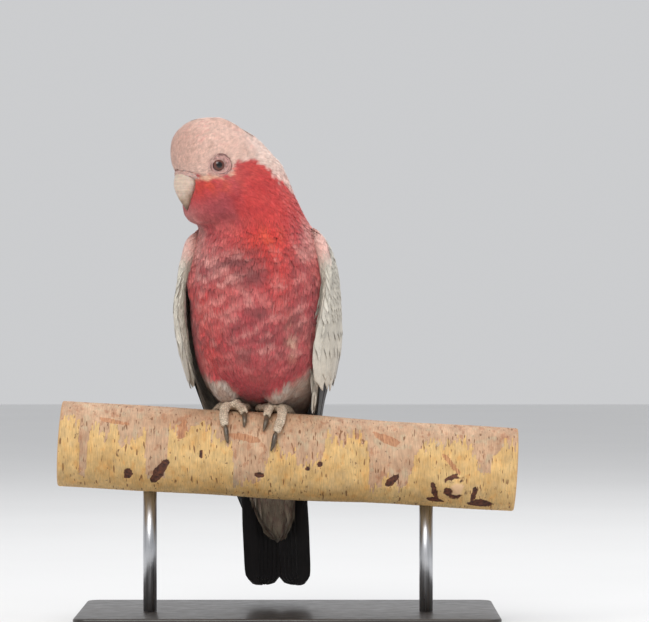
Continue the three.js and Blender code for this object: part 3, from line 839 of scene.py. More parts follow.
drawn_in = body.points - body.normals * coat_depth(body.points)[:, None]
write_points(body_mesh, to_world(drawn_in, bird_space))
hide = solid_copy("wing_left", "wing_right", grow=-1.2 * MM)
core = [*hide.verts, *hide.edges, *hide.faces]
core_end = bird_space @ Vector((0, 0, CORE_END * MM))
bmesh.ops.bisect_plane(hide, geom=core, plane_co=core_end, plane_no=(0, 0, 1), clear_inner=True)
bmesh.ops.holes_fill(hide, edges=[edge for edge in hide.edges if edge.is_boundary])
hide.from_mesh(body_mesh)
for place in SHOULDERS:
    spot_on = bird_space @ Matrix.Translation(Vector(place) * MM)
    bmesh.ops.create_icosphere(hide, subdivisions=3, radius=9 * MM, matrix=spot_on)
hide = with_modifiers(
    finish_bmesh(hide),
    ("REMESH", {"mode": "VOXEL", "voxel_size": 1.35 * MM}),
    ("SMOOTH", {"factor": 0.5, "iterations": 3}),
)
print(f"skin: {len(hide.polygons)} faces")

# %% [markdown]
# The ring round each eye is a fine polar patch of the same skin. Its inner rim rests on the eyeball as two
# lids, folds run round it like ripples, and its outer rim goes down under the small feathers.

# %% Shape the eye rings
RING_START = 4.25
RING_END = 9.6
FOLDS = 25  # how far a ring's folds run in phase from its inner to its outer rim


def eye_frame(side):
    """An eye's centre, the way it looks, backwards and upwards, all in head space."""
    centre = EYE_AT * (side, 1, 1)
    look = EYE_LOOK * (side, 1, 1)
    up = unit(np.array([0, 0, 1.0]) - look * look[2])
    return centre, look, unit(np.cross(up, look) * side), up


def ring_patch(side):
    """The wrinkled skin round an eye, as a mesh in the world."""
    form = bmesh.new()
    bmesh.ops.create_grid(form, x_segments=120, y_segments=34, size=1)
    flat = np.array([vert.co for vert in form.verts])
    angle = (flat[:, 0] + 1) * math.pi
    share = (flat[:, 1] + 1) / 2
    centre, look, back, up = eye_frame(side)
    long = 1 + 0.22 * np.cos(angle) * share
    radius = (RING_START + (RING_END - RING_START) * share) * long
    slit = 1 - 0.1 * np.abs(np.sin(angle)) * (1 - share) ** 3
    spoke = np.cos(angle)[:, None] * back + np.sin(angle)[:, None] * up * slit[:, None]
    start = centre + spoke * radius[:, None]
    matrix = np.array(bird_space.inverted() @ head_space)
    in_bird = start @ matrix[:3, :3].T + matrix[:3, 3] / MM
    heading = matrix[:3, :3] @ look
    depth = np.empty(len(start))
    for i, point in enumerate(in_bird):
        hit = body.tree.ray_cast(Vector(point + heading * 14), Vector(-heading), 30)
        depth[i] = 14 - hit[3] if hit[0] else 4.0
    ball = np.sqrt(np.maximum(EYE_RADIUS**2 - np.minimum(radius, 4.6) ** 2, 0)) + 0.35
    skin_level = depth - 0.55 - 0.9 * ease(0.6, 1.0, share)
    wobble = waves(start, 5.0, 21)
    folds = 0.5 * np.sin(share * FOLDS + 0.8 * wobble + 0.5 * np.sin(angle * 3)) * ease(0.06, 0.2, share)
    folds *= ease(1.0, 0.75, share)
    rim = 0.5 * bell(share, 0.09, 0.06)
    fine = 0.07 * waves(start, 0.9, 22)
    height = ball + (skin_level - ball) * ease(0.08, 0.5, share) + folds + rim + fine
    height -= 1.2 * ease(0.05, 0.0, share)
    place_verts(form, start + look * height[:, None], head_space)
    bmesh.ops.remove_doubles(form, verts=form.verts, dist=0.002 * MM)
    mesh = finish_bmesh(form, outwards=False)
    mesh.calc_loop_triangles()
    facing = np.array([tri.normal for tri in mesh.loop_triangles]).sum(axis=0) @ turned(look, head_space)
    if facing < 0:
        mesh.flip_normals()
    return mesh


print("ring patches ready")

# %% [markdown]
# The rings join the hide, which takes its colours from the markings. The cores of the wings are plain taupe,
# the rings are bare skin with painted shade in the troughs between their folds and along the top of their
# outer edge under the feathers, and the lids are darker at their rims.

# %% Join the rings and colour the skin
whole = bmesh.new()
whole.from_mesh(hide)
hide_count = len(hide.vertices)
for side in (1, -1):
    whole.from_mesh(ring_patch(side))
hide = finish_bmesh(whole, outwards=False)
hide_points = to_space(read_points(hide), bird_space)

hide_tint = markings(hide_points)
wing_part = outside_of(body, hide_points[:hide_count]) > 0.4
hide_tint[:hide_count][wing_part] = PLUMAGE["taupe"] * 0.8
ring = ring_reach(hide_points)
bare = PLUMAGE["bare"] * (1 + 0.12 * waves(hide_points, 2.2, 23)[:, None])
hide_tint += (bare - hide_tint) * ease(1.15, 1.0, ring)[:, None]
hide_head = in_head(hide_points)
# painted shade: a dark line along the top of each bare ring's outer edge, under the feathers
above = ease(-10.5, -2, hide_head[:, 2] - 2 * (hide_head[:, 1] > -8))
crease = bell(ring, 1.02, 0.07) * above
hide_tint *= (1 - 0.7 * crease * (ring < 2))[:, None]
dark_rim = ease(0.66, 0.56, ring)
hide_tint *= (1 - 0.45 * dark_rim)[:, None] * np.array([1, 0.92, 0.94])
# painted shade in the troughs between the folds
fold_share = (ring * RING_END - RING_START) / (RING_END - RING_START)
fold_phase = fold_share * FOLDS + 0.8 * waves(hide_head, 5.0, 21)
fold_shade = ease(0.1, 1.0, -np.sin(fold_phase)) * ease(0.5, 0.62, ring) * ease(1.06, 0.98, ring)
hide_tint *= (1 - 0.6 * fold_shade)[:, None] * np.array([1, 0.96, 0.96])
store(hide, "tint", hide_tint)
print(f"skin with rings: {len(hide.polygons)} faces")

# %% [markdown]
# Bare parrot skin is matt and finely pebbled. The tint comes from the markings; the graph adds pebbles and
# creases in the bump and lets a little light through.

# %% Finish the skin
skin_look = Finish("bare skin", roughness=0.6, subsurface_weight=0.15, subsurface_scale=0.002)
pebble = skin_look.cells(skin_look.place(), 1900.0)
crease = skin_look.noise(skin_look.place(), 700.0, 6.0)
uneven = skin_look.ramp(crease, (0.3, 0.82), (0.7, 1.1))
skin_look.colour(skin_look.times(skin_look.stored("tint"), uneven))
skin_look.bump(skin_look.sum("ADD", pebble, crease), 0.12 * MM, 0.7)
piece("skin", hide, skin_look.material, (*FLESH, *COVERTS, "wing_left", "wing_right"))

# %% [markdown]
# ## The lie of the coat
#
# Feathers point away from the bill over the head and then downwards to the tail. The direction is a function
# of place, like the colours.

# %% Say how the coat lies
def lie(points):
    """The way the coat lies at points of the bird."""
    x, y, z = points.T
    ones = np.ones(len(points))
    tuck = ease(40, 10, z) * ease(30, 0, y)
    inwards = -0.004 * x * (1 + 3 * tuck)
    body_way = np.stack([inwards, 0.1 * ones + 0.55 * tuck + 0.3 * ease(10, -30, z), -ones], 1)
    head_points = in_head(points)
    _, hy, hz = head_points.T
    away = unit(head_points - (0, -33, -9))
    away[:, 1] += 0.35
    away[:, 2] -= 0.9 * ease(18, 34, hy) + 0.25 * ease(0, -25, hz) + 0.5 * ease(-2, 12, hy) * ease(8, -6, hz)
    away[:, 2] += 0.5 * ease(-30, -24, hy) * ease(-4, 4, hz)
    matrix = np.array(bird_space.inverted() @ head_space)[:3, :3]
    share = ease(-46, -24, hz)[:, None]
    return unit(unit(away) @ matrix.T * share + unit(body_way) * (1 - share))


print("lie of the coat ready")

# %% [markdown]
# Roots are scattered evenly at random: candidates are drawn, shuffled, and each one kept clears its own small
# circle. A line is then walked from each root along the form.

# %% Scatter roots and walk lines
def scatter(surface, spacing, seed, crowd=5):
    """Roots over a form, no two closer than the spacing there; a spacing of 0 leaves a place bare."""
    draw = np.random.default_rng(seed)
    middles = surface.points[surface.faces].mean(axis=1)
    gap = spacing(middles)
    share = np.where(gap > 0, surface.areas / np.maximum(gap, 0.1) ** 2 * crowd, 0)
    counts = draw.poisson(share)
    face = np.repeat(np.arange(len(counts)), counts)
    weight = draw.dirichlet((1, 1, 1), len(face))
    spots = (surface.points[surface.faces[face]] * weight[..., None]).sum(axis=1)
    spots = spots[draw.permutation(len(spots))]
    gap = spacing(spots)
    spots = spots[gap > 0]
    gap = gap[gap > 0]
    tree = KDTree(len(spots))
    for i, place in enumerate(spots.tolist()):
        tree.insert(place, i)
    tree.balance()
    free = np.ones(len(spots), bool)
    kept = []
    for i, place in enumerate(spots.tolist()):
        if free[i]:
            kept.append(i)
            for _, other, _ in tree.find_range(place, gap[i]):
                free[other] = False
    return spots[kept]


def walk(surface, roots, length, wander, seed, steps=4):
    """Lines along a form from each root, and the outward directions along them."""
    draw = np.random.default_rng(seed)
    stray = draw.normal(size=(len(roots), 3)) * wander
    points, out = surface.nearest(roots)
    line, outs = [points], [out]
    for _ in range(steps):
        heading = lie(points) + stray
        heading = unit(heading - out * (heading * out).sum(axis=1, keepdims=True))
        points, out = surface.nearest(points + heading * (length / steps)[:, None])
        line.append(points)
        outs.append(out)
    return np.stack(line, axis=1), np.stack(outs, axis=1)


def body_spacing(points):
    """Distance between feathers over the body, in millimetres."""
    _, hy, hz = in_head(points).T
    head = ease(-46, -30, hz)
    gap = 3.1 - 0.9 * ease(80, 120, points[:, 2])
    gap = gap + 0.9 * ease(5, 30, points[:, 1]) + 1.2 * ease(-5, -30, points[:, 2])
    gap = gap - 0.9 * ease(24, 6, points[:, 2]) * ease(30, 10, points[:, 1])
    gap = gap + (1.35 - 0.45 * ease(-4, -18, hy) - gap) * head
    bare = (ring_reach(points) < 0.98) | (cere_share(points) < 1) | (outside_of(bill, points) < 0.7)
    return np.where(bare, 0, gap)


print("scattering ready")

# %% [markdown]
# ## The body's coat
#
# The body is dressed in joined meshes: fine feathers on the head, larger ones below. Each feather starts
# on the skin, rises through the coat and ends just proud of the outer form, over the roots of the next.

# %% Dress the head and body
def head_share(points):
    return ease(-46, -30, in_head(points)[:, 2])


def nape(points):
    """1 on the back of the head and neck, where the coat stands off in small steps."""
    _, hy, hz = in_head(points).T
    return ease(14, 28, hy) * ease(-60, -30, hz)


def dress(name, pattern, roots, length, half, seed, rise=(0.7, 0.14), material=None):
    """Lays one feather at every root and makes the piece."""
    draw = np.random.default_rng(seed)
    count = len(roots)
    length = length * draw.uniform(0.85, 1.15, count)
    line, out = walk(body, roots, length, 0.12, seed)
    # a feather that would end on the bare ring is cut short
    near, tip = ring_reach(line[:, 0]), ring_reach(line[:, -1])
    keep = np.where((tip < 1) & (near > 1), np.clip((near - 1) / (near - tip + 1e-6), 0.15, 1), 1)
    line = line[:, :1] + (line - line[:, :1]) * keep[:, None, None]
    depth = coat_depth(roots)
    loose = 0.9 * draw.uniform(0, 1, count) ** 2 * nape(roots)
    ends = -depth * rise[0], -SWELL / MM + rise[1] * draw.uniform(0.4, 1.4, count) + loose
    half = half * draw.uniform(0.85, 1.15, count)
    lean = draw.normal(0, 0.24, count)
    roll = draw.normal(0, 0.05, count)
    points = lay_feathers(pattern, line, out, half, ends, lean, 0.14, roll)
    own = markings(line[:, line.shape[1] * 3 // 5]) * (1 + 0.06 * draw.normal(size=(count, 1)))
    place = markings(points.reshape(-1, 3)).reshape(points.shape)
    tint = 0.5 * place + 0.5 * own[:, None]
    grey_base = 0.4 * (1 - 0.8 * head_share(roots))[:, None] * ease(0.55, 0.3, pattern.along)[None]
    tint = np.clip(tint + (PLUMAGE["dusk"] - tint) * grey_base[..., None], 0, 1)
    return coat_piece(name, material or down, pattern, points, roots, tint, seed)


roots = scatter(body, body_spacing, 31)
gaps = body_spacing(roots)
_, head_y, head_z = in_head(roots).T
high = roots[:, 2]
on_head = head_z > -40
on_neck = ~on_head & (high > 92)
on_tail = high < -2
on_belly = ~on_head & ~on_neck & ~on_tail
print(f"{len(roots)} roots: head {on_head.sum()}, neck {on_neck.sum()}, belly {on_belly.sum()}")

length = gaps * 3.6
head_length = length[on_head] * (1.15 - 0.3 * ease(0, -20, head_y[on_head]))
dress("coat_head", small, roots[on_head], head_length, gaps[on_head], 41, (0.5, 0.12), head_down)
dress("coat_breast", contour, roots[on_neck], length[on_neck], gaps[on_neck] * 1.05, 42)
dress("coat_belly", contour, roots[on_belly], length[on_belly], gaps[on_belly] * 1.05, 43)
dress("coat_tail_root", contour, roots[on_tail], gaps[on_tail] * 4.6, gaps[on_tail], 44)

# %% [markdown]
# The crest is a fan of longer feathers that start on the forehead and lie folded back over the crown.

# %% Fold the crest back
draw = np.random.default_rng(46)
crest_count = 34
fan = draw.uniform(-9, 9, crest_count), draw.uniform(-20, 14, crest_count), np.full(crest_count, 34.0)
fan = np.stack(fan, axis=1)
fan, _ = body.nearest(to_space(to_world(fan, head_space), bird_space))
crest_length = draw.uniform(15, 24, crest_count)
crest_half = np.full(crest_count, 2.7)
dress("coat_crest", contour, fan, crest_length, crest_half, 47, (0.1, 0.7), head_down)

# %% [markdown]
# Fine loose barbs over the feathers take the hard edges off them, as the hair-like tips of real down do.

# %% Scatter loose barbs
def barb_spacing(points):
    gap = 1.9 - 0.85 * head_share(points)
    return np.where(body_spacing(points) > 0, gap, 0)


barbs = scatter(body, barb_spacing, 33, crowd=3)
fine = head_share(barbs)
tuft = 6.2 - 2.8 * fine
dress("coat_barbs", wisp, barbs, tuft, 0.34 - 0.16 * fine, 45, (0.12, 0.35), head_down)

# %% [markdown]
# ## Wings
#
# A folded wing is a bent sheet: its front edge hangs over the flank, its rear edge lies on the back. These
# rows repeat the sheet of the solid wings, from the shoulder to the tip, and feathers are laid along it in
# the order of a real wing: small coverts, greater coverts, then the grey secondaries over the primaries.

# %% The wings' sheets
WING_ROWS = np.array(
    [
        # front edge xyz, rear edge xyz, outward bow, thickness
        [35, 0, 124, 35, 0, 124, 0, 0],
        [42.5, -14, 114, 20, 32, 119, 3, 3.2],
        [46.5, -20, 100, 11, 43.5, 106, 9, 4.8],
        [47.5, -21.5, 84, 5.5, 51, 90, 13, 5.8],
        [44.5, -22, 65, 4, 55.5, 72, 21, 6.4],
        [40, -19, 46, 3.4, 60.5, 52, 31, 6.4],
        [38.5, -9, 25, 3.4, 65, 31, 24, 6],
        [37.5, 9, 3, 3.6, 70, 6, 9, 5],
        [32, 34, -25, 4.2, 75, -24, 6, 4.2],
        [25.5, 53, -52, 5, 79.5, -53, 4, 3.4],
        [18, 70, -78, 6.5, 84, -82, 1.5, 2.6],
        [11, 85, -99, 11, 85, -99, 0, 0],
    ],
    float,
)
RIGHT_DROOP = np.array([0, -1, -2.5, 0, 4, 6, 5, 3, 1, 0, 0, 0])  # the right wing hangs off the flank
wing_tables = {1: WING_ROWS, -1: WING_ROWS.copy()}
wing_tables[-1][:, 0] += RIGHT_DROOP
wing_tables[-1][:, 6] -= 1.6 * RIGHT_DROOP


def wing_sheet(side, down, over):
    """Points of a wing's middle sheet, down it and over it from the front edge, each 0 to 1."""
    row = through(wing_tables[side], down)
    front, rear, bow = row[..., :3], row[..., 3:6], row[..., 6]
    span = rear - front
    flank = front + np.stack([bow, 0.55 * span[..., 1], span[..., 2] / 3], axis=-1)
    back = rear + np.stack([-0.8 * span[..., 0], 0 * bow, -span[..., 2] / 3], axis=-1)
    c = np.clip(over, 0, 1)[..., None]
    place = (1 - c) ** 3 * front + 3 * c * (1 - c) ** 2 * flank + 3 * c**2 * (1 - c) * back + c**3 * rear
    return place * (side, 1, 1)


print("wing sheets ready")

# %% [markdown]
# Feathers lie on lines down a sheet, lifted off its middle by half its thickness, to either face.

# %% Draw lines down a sheet
def sheet_out(sheet, side, down, over, inside_point):
    """Directions square to a sheet, away from a point inside the bird."""
    step = 0.012
    along = sheet(side, np.minimum(down + step, 1), over) - sheet(side, np.maximum(down - step, 0), over)
    cross = sheet(side, down, np.minimum(over + step, 1)) - sheet(side, down, np.maximum(over - step, 0))
    out = unit(np.cross(along, cross))
    facing = (out * (sheet(side, down, over) - inside_point)).sum(axis=-1, keepdims=True)
    return np.where(facing < 0, -out, out)


def sheet_lines(sheet, side, start, end, over_start, over_end, lift, inside_point, steps=6):
    """Lines down a sheet, lifted off its middle by so many millimetres, and the directions out of it."""
    t = np.linspace(0, 1, steps + 1)[None]
    down = start[:, None] + (end - start)[:, None] * t
    over = over_start[:, None] + (over_end - over_start)[:, None] * t
    out = sheet_out(sheet, side, down, over, np.array(inside_point, float))
    line = sheet(side, down, over) + out * lift(down)[..., None]
    return line, out


def wing_half_thickness(side, down):
    return through(wing_tables[side], down)[..., 7] / 2


print("lines down a sheet ready")

# %% [markdown]
# Coverts are laid in rows with every other row set over by half a feather, as roof tiles are.

# %% Lay groups of wing feathers
INSIDE = (0.0, 12.0, 40.0)  # a point within the bird, to tell a sheet's outer face from its inner
EDGE_ROLL = 2.7  # half the thickness of a wing's front edge, in millimetres
WING_PALE = np.array(srgb(206, 199, 185)[:3])
WING_EDGE = np.array(srgb(224, 217, 203)[:3])
WING_BACK = np.array(srgb(172, 173, 172)[:3])
WING_UNDER = np.array(srgb(178, 168, 153)[:3])
SECONDARY = np.array(srgb(140, 139, 137)[:3])
PRIMARY = np.array(srgb(25, 22, 23)[:3])


def wing_rows_of_feathers(side, starts, long, apart, band):
    """Rows of feathers as start, end and place over the sheet, every other row set half a step over."""
    down_start, down_end, over = [], [], []
    for i, start in enumerate(starts):
        samples = np.linspace(band[0], band[1], 60)
        arc = wing_sheet(side, np.full(60, start), samples)
        lengths = np.concatenate([[0], np.cumsum(np.linalg.norm(np.diff(arc, axis=0), axis=1))])
        count = max(2, int(lengths[-1] / apart))
        marks = (np.arange(count) + (0.25 if i % 2 else 0.75)) / count * lengths[-1]
        over.append(np.interp(marks, lengths, samples))
        down_start.append(np.full(count, start))
        down_end.append(np.full(count, start + long[i]))
    return np.concatenate(down_start), np.minimum(np.concatenate(down_end), 1), np.concatenate(over)


def wing_group(
    name, side, starts, long, apart, half, pattern, colour, seed,
    rise=(-1.2, 0.15), under=0.0, thick=0.0, stack=0.0, drift=0.015, face=1, band=(0.0, 1.0),
):
    """One group of wing feathers as a piece.

    starts and long are shares of the way down the wing, a row each; apart and half are in millimetres. under
    is how deep the group lies in the wing, face is -1 for its inner face, and band is the part it covers.
    """
    draw = np.random.default_rng(seed)
    start, end, over = wing_rows_of_feathers(side, starts, long, apart, band)
    count = len(start)
    start = start + draw.normal(0, 0.0025, count)
    end = np.minimum(end + draw.normal(0, 0.004, count), 1)
    over_end = np.clip(over + drift + draw.normal(0, 0.006, count), 0, 1)
    lift = lambda down: face * (wing_half_thickness(side, down) - under)
    line, out = sheet_lines(wing_sheet, side, start, end, over, over_end, lift, INSIDE)
    ends = np.full(count, rise[0]), rise[1] + draw.uniform(0, 0.3, count) + stack * over
    half = half * draw.uniform(0.92, 1.08, count)
    lean = draw.normal(0, 0.12, count)
    points = lay_feathers(pattern, line, out * face, half, ends, lean, 0.16, thick=thick)
    tint = colour(over, line[:, 4], draw)
    return coat_piece(name, wing_finish, pattern, points, line[:, 0], tint, seed)


print("wing groups ready")

# %% [markdown]
# Pale in front, grey behind, pink at the shoulder, and taupe with a pale rim on the inner face.

# %% Colour the wing feathers
def covert_colour(over, place, draw):
    rear = ease(0.3, 0.95, over)[:, None]
    colour = WING_PALE * (1 - rear) + WING_BACK * rear
    edge = ease(0.06, 0.0, over)[:, None]
    colour = colour + (WING_EDGE - colour) * edge
    shoulder = (ease(112, 124, place[:, 2]) * ease(30, 10, place[:, 1]))[:, None]
    colour = colour + (PLUMAGE["blush"] - colour) * shoulder * 0.6
    return colour * (1 + 0.05 * draw.normal(size=(len(over), 1)))


def under_colour(over, _, draw):
    pale = np.maximum(ease(0.05, 0.0, over), bell(over, 0.11, 0.02))[:, None]
    colour = WING_UNDER + (WING_EDGE - WING_UNDER) * pale
    return colour * (1 + 0.12 * draw.normal(size=(len(over), 1)))


def secondary_colour(over, _, draw):
    front = ease(0.4, 0.1, over)[:, None]
    return (SECONDARY + (WING_PALE - SECONDARY) * front) * (1 + 0.05 * draw.normal(size=(len(over), 1)))


print("wing colours ready")

# %% [markdown]
# The front edge of a folded wing is a thick roll, and its coverts are wrapped round it.

# %% Wrap the front edges
def wing_front(name, side, seed):
    """Coverts wrapped round the thick front edge of a wing, whitish in front and taupe inside."""
    draw = np.random.default_rng(seed)
    starts, turns = np.meshgrid(np.arange(0.02, 0.53, 0.0125), np.radians([-25, 15, 50, 85, 120, 155]))
    starts = (starts + 0.006 * (np.arange(6)[:, None] % 2)).ravel()
    turns = turns.ravel() + draw.normal(0, 0.06, starts.size)
    down = starts[:, None] + 0.055 * np.linspace(0, 1, 7)[None]
    over = np.full(down.shape, 0.03)
    out = sheet_out(wing_sheet, side, down, over, np.array(INSIDE))
    spine = wing_sheet(side, down, over)
    ahead = unit(np.cross(np.gradient(spine, axis=1), out))
    ahead = np.where(ahead[..., 1:2] > 0, -ahead, ahead)
    thick = EDGE_ROLL * ease(0.0, 0.12, down) * ease(0.6, 0.42, down)
    thick = thick * (1 + 0.6 * ease(0.3, 0.2, down) * ease(0.03, 0.1, down))
    if side < 0:
        thick = thick * (1 + 0.55 * ease(0.26, 0.34, down))
    way = out * np.cos(turns)[:, None, None] + ahead * np.sin(turns)[:, None, None]
    line = spine + way * thick[..., None]
    count = len(starts)
    half = draw.uniform(2.1, 2.7, count)
    ends = np.full(count, -0.7), draw.uniform(0, 0.3, count)
    points = lay_feathers(covert, line, way, half, ends, draw.normal(0, 0.12, count), 0.2)
    inner = ease(0.9, 1.9, turns)[:, None]
    front = bell(turns, 0.7, 0.5)[:, None]
    tint = WING_PALE + (WING_EDGE - WING_PALE) * front
    tint = tint + (WING_UNDER - tint) * inner
    tint = tint + (PLUMAGE["blush"] - tint) * 0.7 * ease(96, 112, line[:, 3, 2])[:, None]
    tint = tint * (1 + 0.05 * draw.normal(size=(count, 1)))
    return coat_piece(name, wing_finish, covert, points, line[:, 0], tint, seed)


print("front edges ready")

# %% [markdown]
# The dark primaries are laid first, in the middle of the sheet; secondaries, greater coverts and the small
# coverts follow, each over the last, and a few rows line the wing's inner face, which shows past the flank.

# %% Feather the wings
for side, label in ((1, "left"), (-1, "right")):
    lesser = np.arange(0.012, 0.35, 0.017)
    wing_group(
        f"wing_{label}_coverts", side, lesser, np.full(len(lesser), 0.052) + 0.02 * lesser, 4.0, 3.0,
        covert, covert_colour, 60 + side,
    )
    greater = np.array([0.335, 0.365])
    wing_group(
        f"wing_{label}_greater_coverts", side, greater, np.array([0.11, 0.135]), 6.0, 4.4,
        covert, covert_colour, 64 + side, under=0.3, rise=(-0.8, 0.2),
    )
    wing_group(
        f"wing_{label}_secondaries", side, np.array([0.4, 0.42]), np.array([0.16, 0.17]), 9.5, 6.6,
        quill, secondary_colour, 68 + side, under=0.8, rise=(-0.6, 0.2), thick=0.35, stack=0.5, drift=0.03,
    )
    wing_front(f"wing_{label}_front", side, 76 + side)
    under = np.arange(0.04, 0.6, 0.024)
    wing_group(
        f"wing_{label}_lining", side, under, np.full(len(under), 0.065), 4.6, 3.2,
        covert, under_colour, 72 + side, face=-1, band=(0.0, 0.62), rise=(-0.9, 0.1),
    )

# %% [markdown]
# ## Primaries and tail
#
# The long flight feathers are few, so each is placed by name: how far it reaches down the sheet and where it
# lies across it. They have a thickness of their own, as their edges show.

# %% Lay the long flight feathers
TAIL_ROWS = np.array(
    [
        # outer edge xyz, crown xyz, inner edge xyz, thickness
        [11, 38, 6, 6, 44, 6, 1, 41, 6, 0],
        [17, 42, 0, 8, 49, 0, -1, 46, 0, 3.6],
        [21, 48, -20, 9, 54, -20, -1.5, 53, -20, 4],
        [22.5, 55, -45, 10, 62, -45, -1.5, 61, -45, 3.8],
        [23, 63, -72, 10, 70, -72, -1.2, 69, -72, 3.4],
        [23, 70, -97, 10, 76.5, -97, -0.8, 75.5, -97, 3],
        [22.6, 73.4, -109, 11, 79, -109, -0.6, 78, -109, 2.7],
        [21.2, 75.4, -116, 11, 80, -116, 0, 79, -116, 2.3],
        [17.4, 77.4, -119.8, 11, 80, -120.2, 4, 79.6, -119.6, 1.8],
        [11, 79.5, -121, 11, 79.5, -121, 11, 79.5, -121, 0],
    ],
    float,
)
TAIL_OFFSET = 2.0  # towards the bird's left


def tail_sheet(side, down, over):
    """Points of one of the tail's two lobes."""
    row = through(TAIL_ROWS, down)
    c = np.clip(over, 0, 1)[..., None]
    place = (1 - c) ** 2 * row[..., :3] + 2 * c * (1 - c) * row[..., 3:6] + c**2 * row[..., 6:9]
    return place * (side, 1, 1) + (TAIL_OFFSET, 0, 0)


def flight_piece(name, sheet, side, plan, inside_point, seed, replaces):
    """Long feathers from a plan of (start, end, place over the sheet, half width, lift) each."""
    start, end, over, half, lift = np.array(plan, float).T
    draw = np.random.default_rng(seed)
    over_end = over + (0.5 - over) * 0.12
    line, out = sheet_lines(
        sheet, side, start, end, over, over_end, lambda down: 0 * down, inside_point, steps=12
    )
    line = line + out * lift[:, None, None]
    flat = np.zeros(len(plan))
    lean = draw.normal(0, 0.03, len(plan))
    points = lay_feathers(quill, line, out, half, (flat, flat), lean, 0.05, thick=0.4)
    tint = PRIMARY * (1 + 0.12 * draw.normal(size=(len(plan), 1)))
    return coat_piece(name, flight_finish, quill, points, line[:, 0], tint, seed, replaces)


primary_plan = []
for i in range(9):
    share = i / 8
    reach = 0.995 - 0.19 * share**1.3
    primary_plan.append((0.44, reach, 0.1 + 0.78 * share, 5.4 - 0.6 * share, -1.0 + 1.4 * share))
tail_plan = []
for i in range(6):
    share = i / 5
    reach = 0.985 - 0.03 * (2 * share - 1) ** 2
    tail_plan.append((0.06, reach, 0.17 + 0.66 * share, 5.6, -1.1 + 2.2 * share))
for side, label in ((1, "left"), (-1, "right")):
    flight_piece(
        f"primaries_{label}", wing_sheet, side, primary_plan, INSIDE, 80 + side, (f"wing_tip_{label}",)
    )
    flight_piece(
        f"tail_feathers_{label}", tail_sheet, side, tail_plan, (0, -200, -60), 84 + side,
        ("tail",) if side > 0 else (),
    )

# %% [markdown]
# ## Bill
#
# A cockatoo's bill is narrow and deep, with the upper half curving down over the lower. Each half is a ball
# pulled into level slices: how far it reaches forward and back, and how wide it is, at each height.

# %% Shape the bill
UPPER_BILL = np.array(
    [
        # height, front, back, half width, in head space
        [-1.0, -24, -24, 0.5],
        [-3, -28.2, -18, 8],
        [-7, -31.2, -16, 10.6],
        [-12, -32.6, -16.5, 10],
        [-17, -32.1, -18, 7.8],
        [-22, -30.2, -19.6, 4.8],
        [-26.5, -27.4, -21, 2.6],
        [-30.2, -24.8, -24.4, 0.1],
    ]
)
LOWER_BILL = np.array(
    [
        [-22.2, -17.6, -17.6, 0.2],
        [-24, -22.6, -12, 5],
        [-27, -22.2, -11.4, 5.2],
        [-29.4, -19.2, -12, 3.8],
        [-30.7, -15.6, -15.6, 0.1],
    ]
)


def sliced_ball(rows, space, ridge=0.0, across=72, down=56):
    """A closed form from level slices, in the world; ridge pinches its front to a keel."""
    form = bmesh.new()
    bmesh.ops.create_uvsphere(form, u_segments=across, v_segments=down, radius=1)
    flat = np.array([vert.co for vert in form.verts])
    row = through(rows, 0.5 - np.arcsin(np.clip(flat[:, 2], -1, 1)) / math.pi)
    level = np.hypot(flat[:, 0], flat[:, 1])
    side = np.where(level > 1e-5, flat[:, 0] / np.maximum(level, 1e-5), 0)
    fore = np.where(level > 1e-5, flat[:, 1] / np.maximum(level, 1e-5), 0)
    middle, reach = (row[:, 1] + row[:, 2]) / 2, (row[:, 2] - row[:, 1]) / 2
    pinch = 1 - ridge * ease(-0.3, -1, fore) * (1 - np.abs(side)) ** 0.5
    place = np.stack([side * row[:, 3] * pinch, middle + fore * reach, row[:, 0]], axis=1)
    place_verts(form, place, space)
    return form


def horn_finish():
    soft = {"subsurface_weight": 0.2, "subsurface_scale": 0.002}
    look = Finish("bill horn", roughness=0.42, coat_weight=0.15, **soft)
    where = look.place()
    tip, middle, root = srgb(118, 92, 74), srgb(172, 146, 124), srgb(208, 186, 168)
    tone = look.ramp(look.stored("tint"), (0.0, tip), (0.3, middle), (0.65, root))
    bands = look.noise(look.place((60, 60, 900)), 1.0, 5.0)
    marks = look.ramp(bands, (0.32, 0.86), (0.62, 1.05))
    flakes = look.cloud(where, 500.0, 6.0, (0.35, 0.9), (0.6, 1.04))
    look.colour(look.times(tone, marks, flakes))
    look.bump(look.sum("ADD", bands, look.noise(where, 900.0, 4.0)), 0.1 * MM, 0.5)
    return look.material


horn = horn_finish()
for label, rows, ridge in (("upper", UPPER_BILL, 0.22), ("lower", LOWER_BILL, 0.1)):
    mesh = finish_bmesh(sliced_ball(rows, head_space, ridge))
    points = to_space(read_points(mesh), head_space)
    light = ease(-30, -13, points[:, 2]) * 0.8 + 0.2 * waves(points, 6, 90)
    store(mesh, "tint", np.repeat(np.clip(light, 0, 1)[:, None], 3, axis=1))
    piece(f"bill_{label}", mesh, horn, (f"beak_{label}",))

# %% [markdown]
# Over the top of the bill lies the cere, a soft swelling with the two nostrils.

# %% Shape the cere
CERE_ROWS = np.array(
    [
        [-1.4, -24, -22, 0.3],
        [-2.4, -28.4, -19, 7],
        [-4.2, -30.2, -17, 10.5],
        [-6.2, -30.2, -16, 13.2],
        [-8.6, -28.2, -15, 14.6],
        [-10.4, -24.6, -15, 13.4],
        [-11.6, -20, -18, 0.3],
    ]
)
NOSTRILS = [np.array([side * 5.4, -30.2, -3.4]) for side in (-1, 1)]

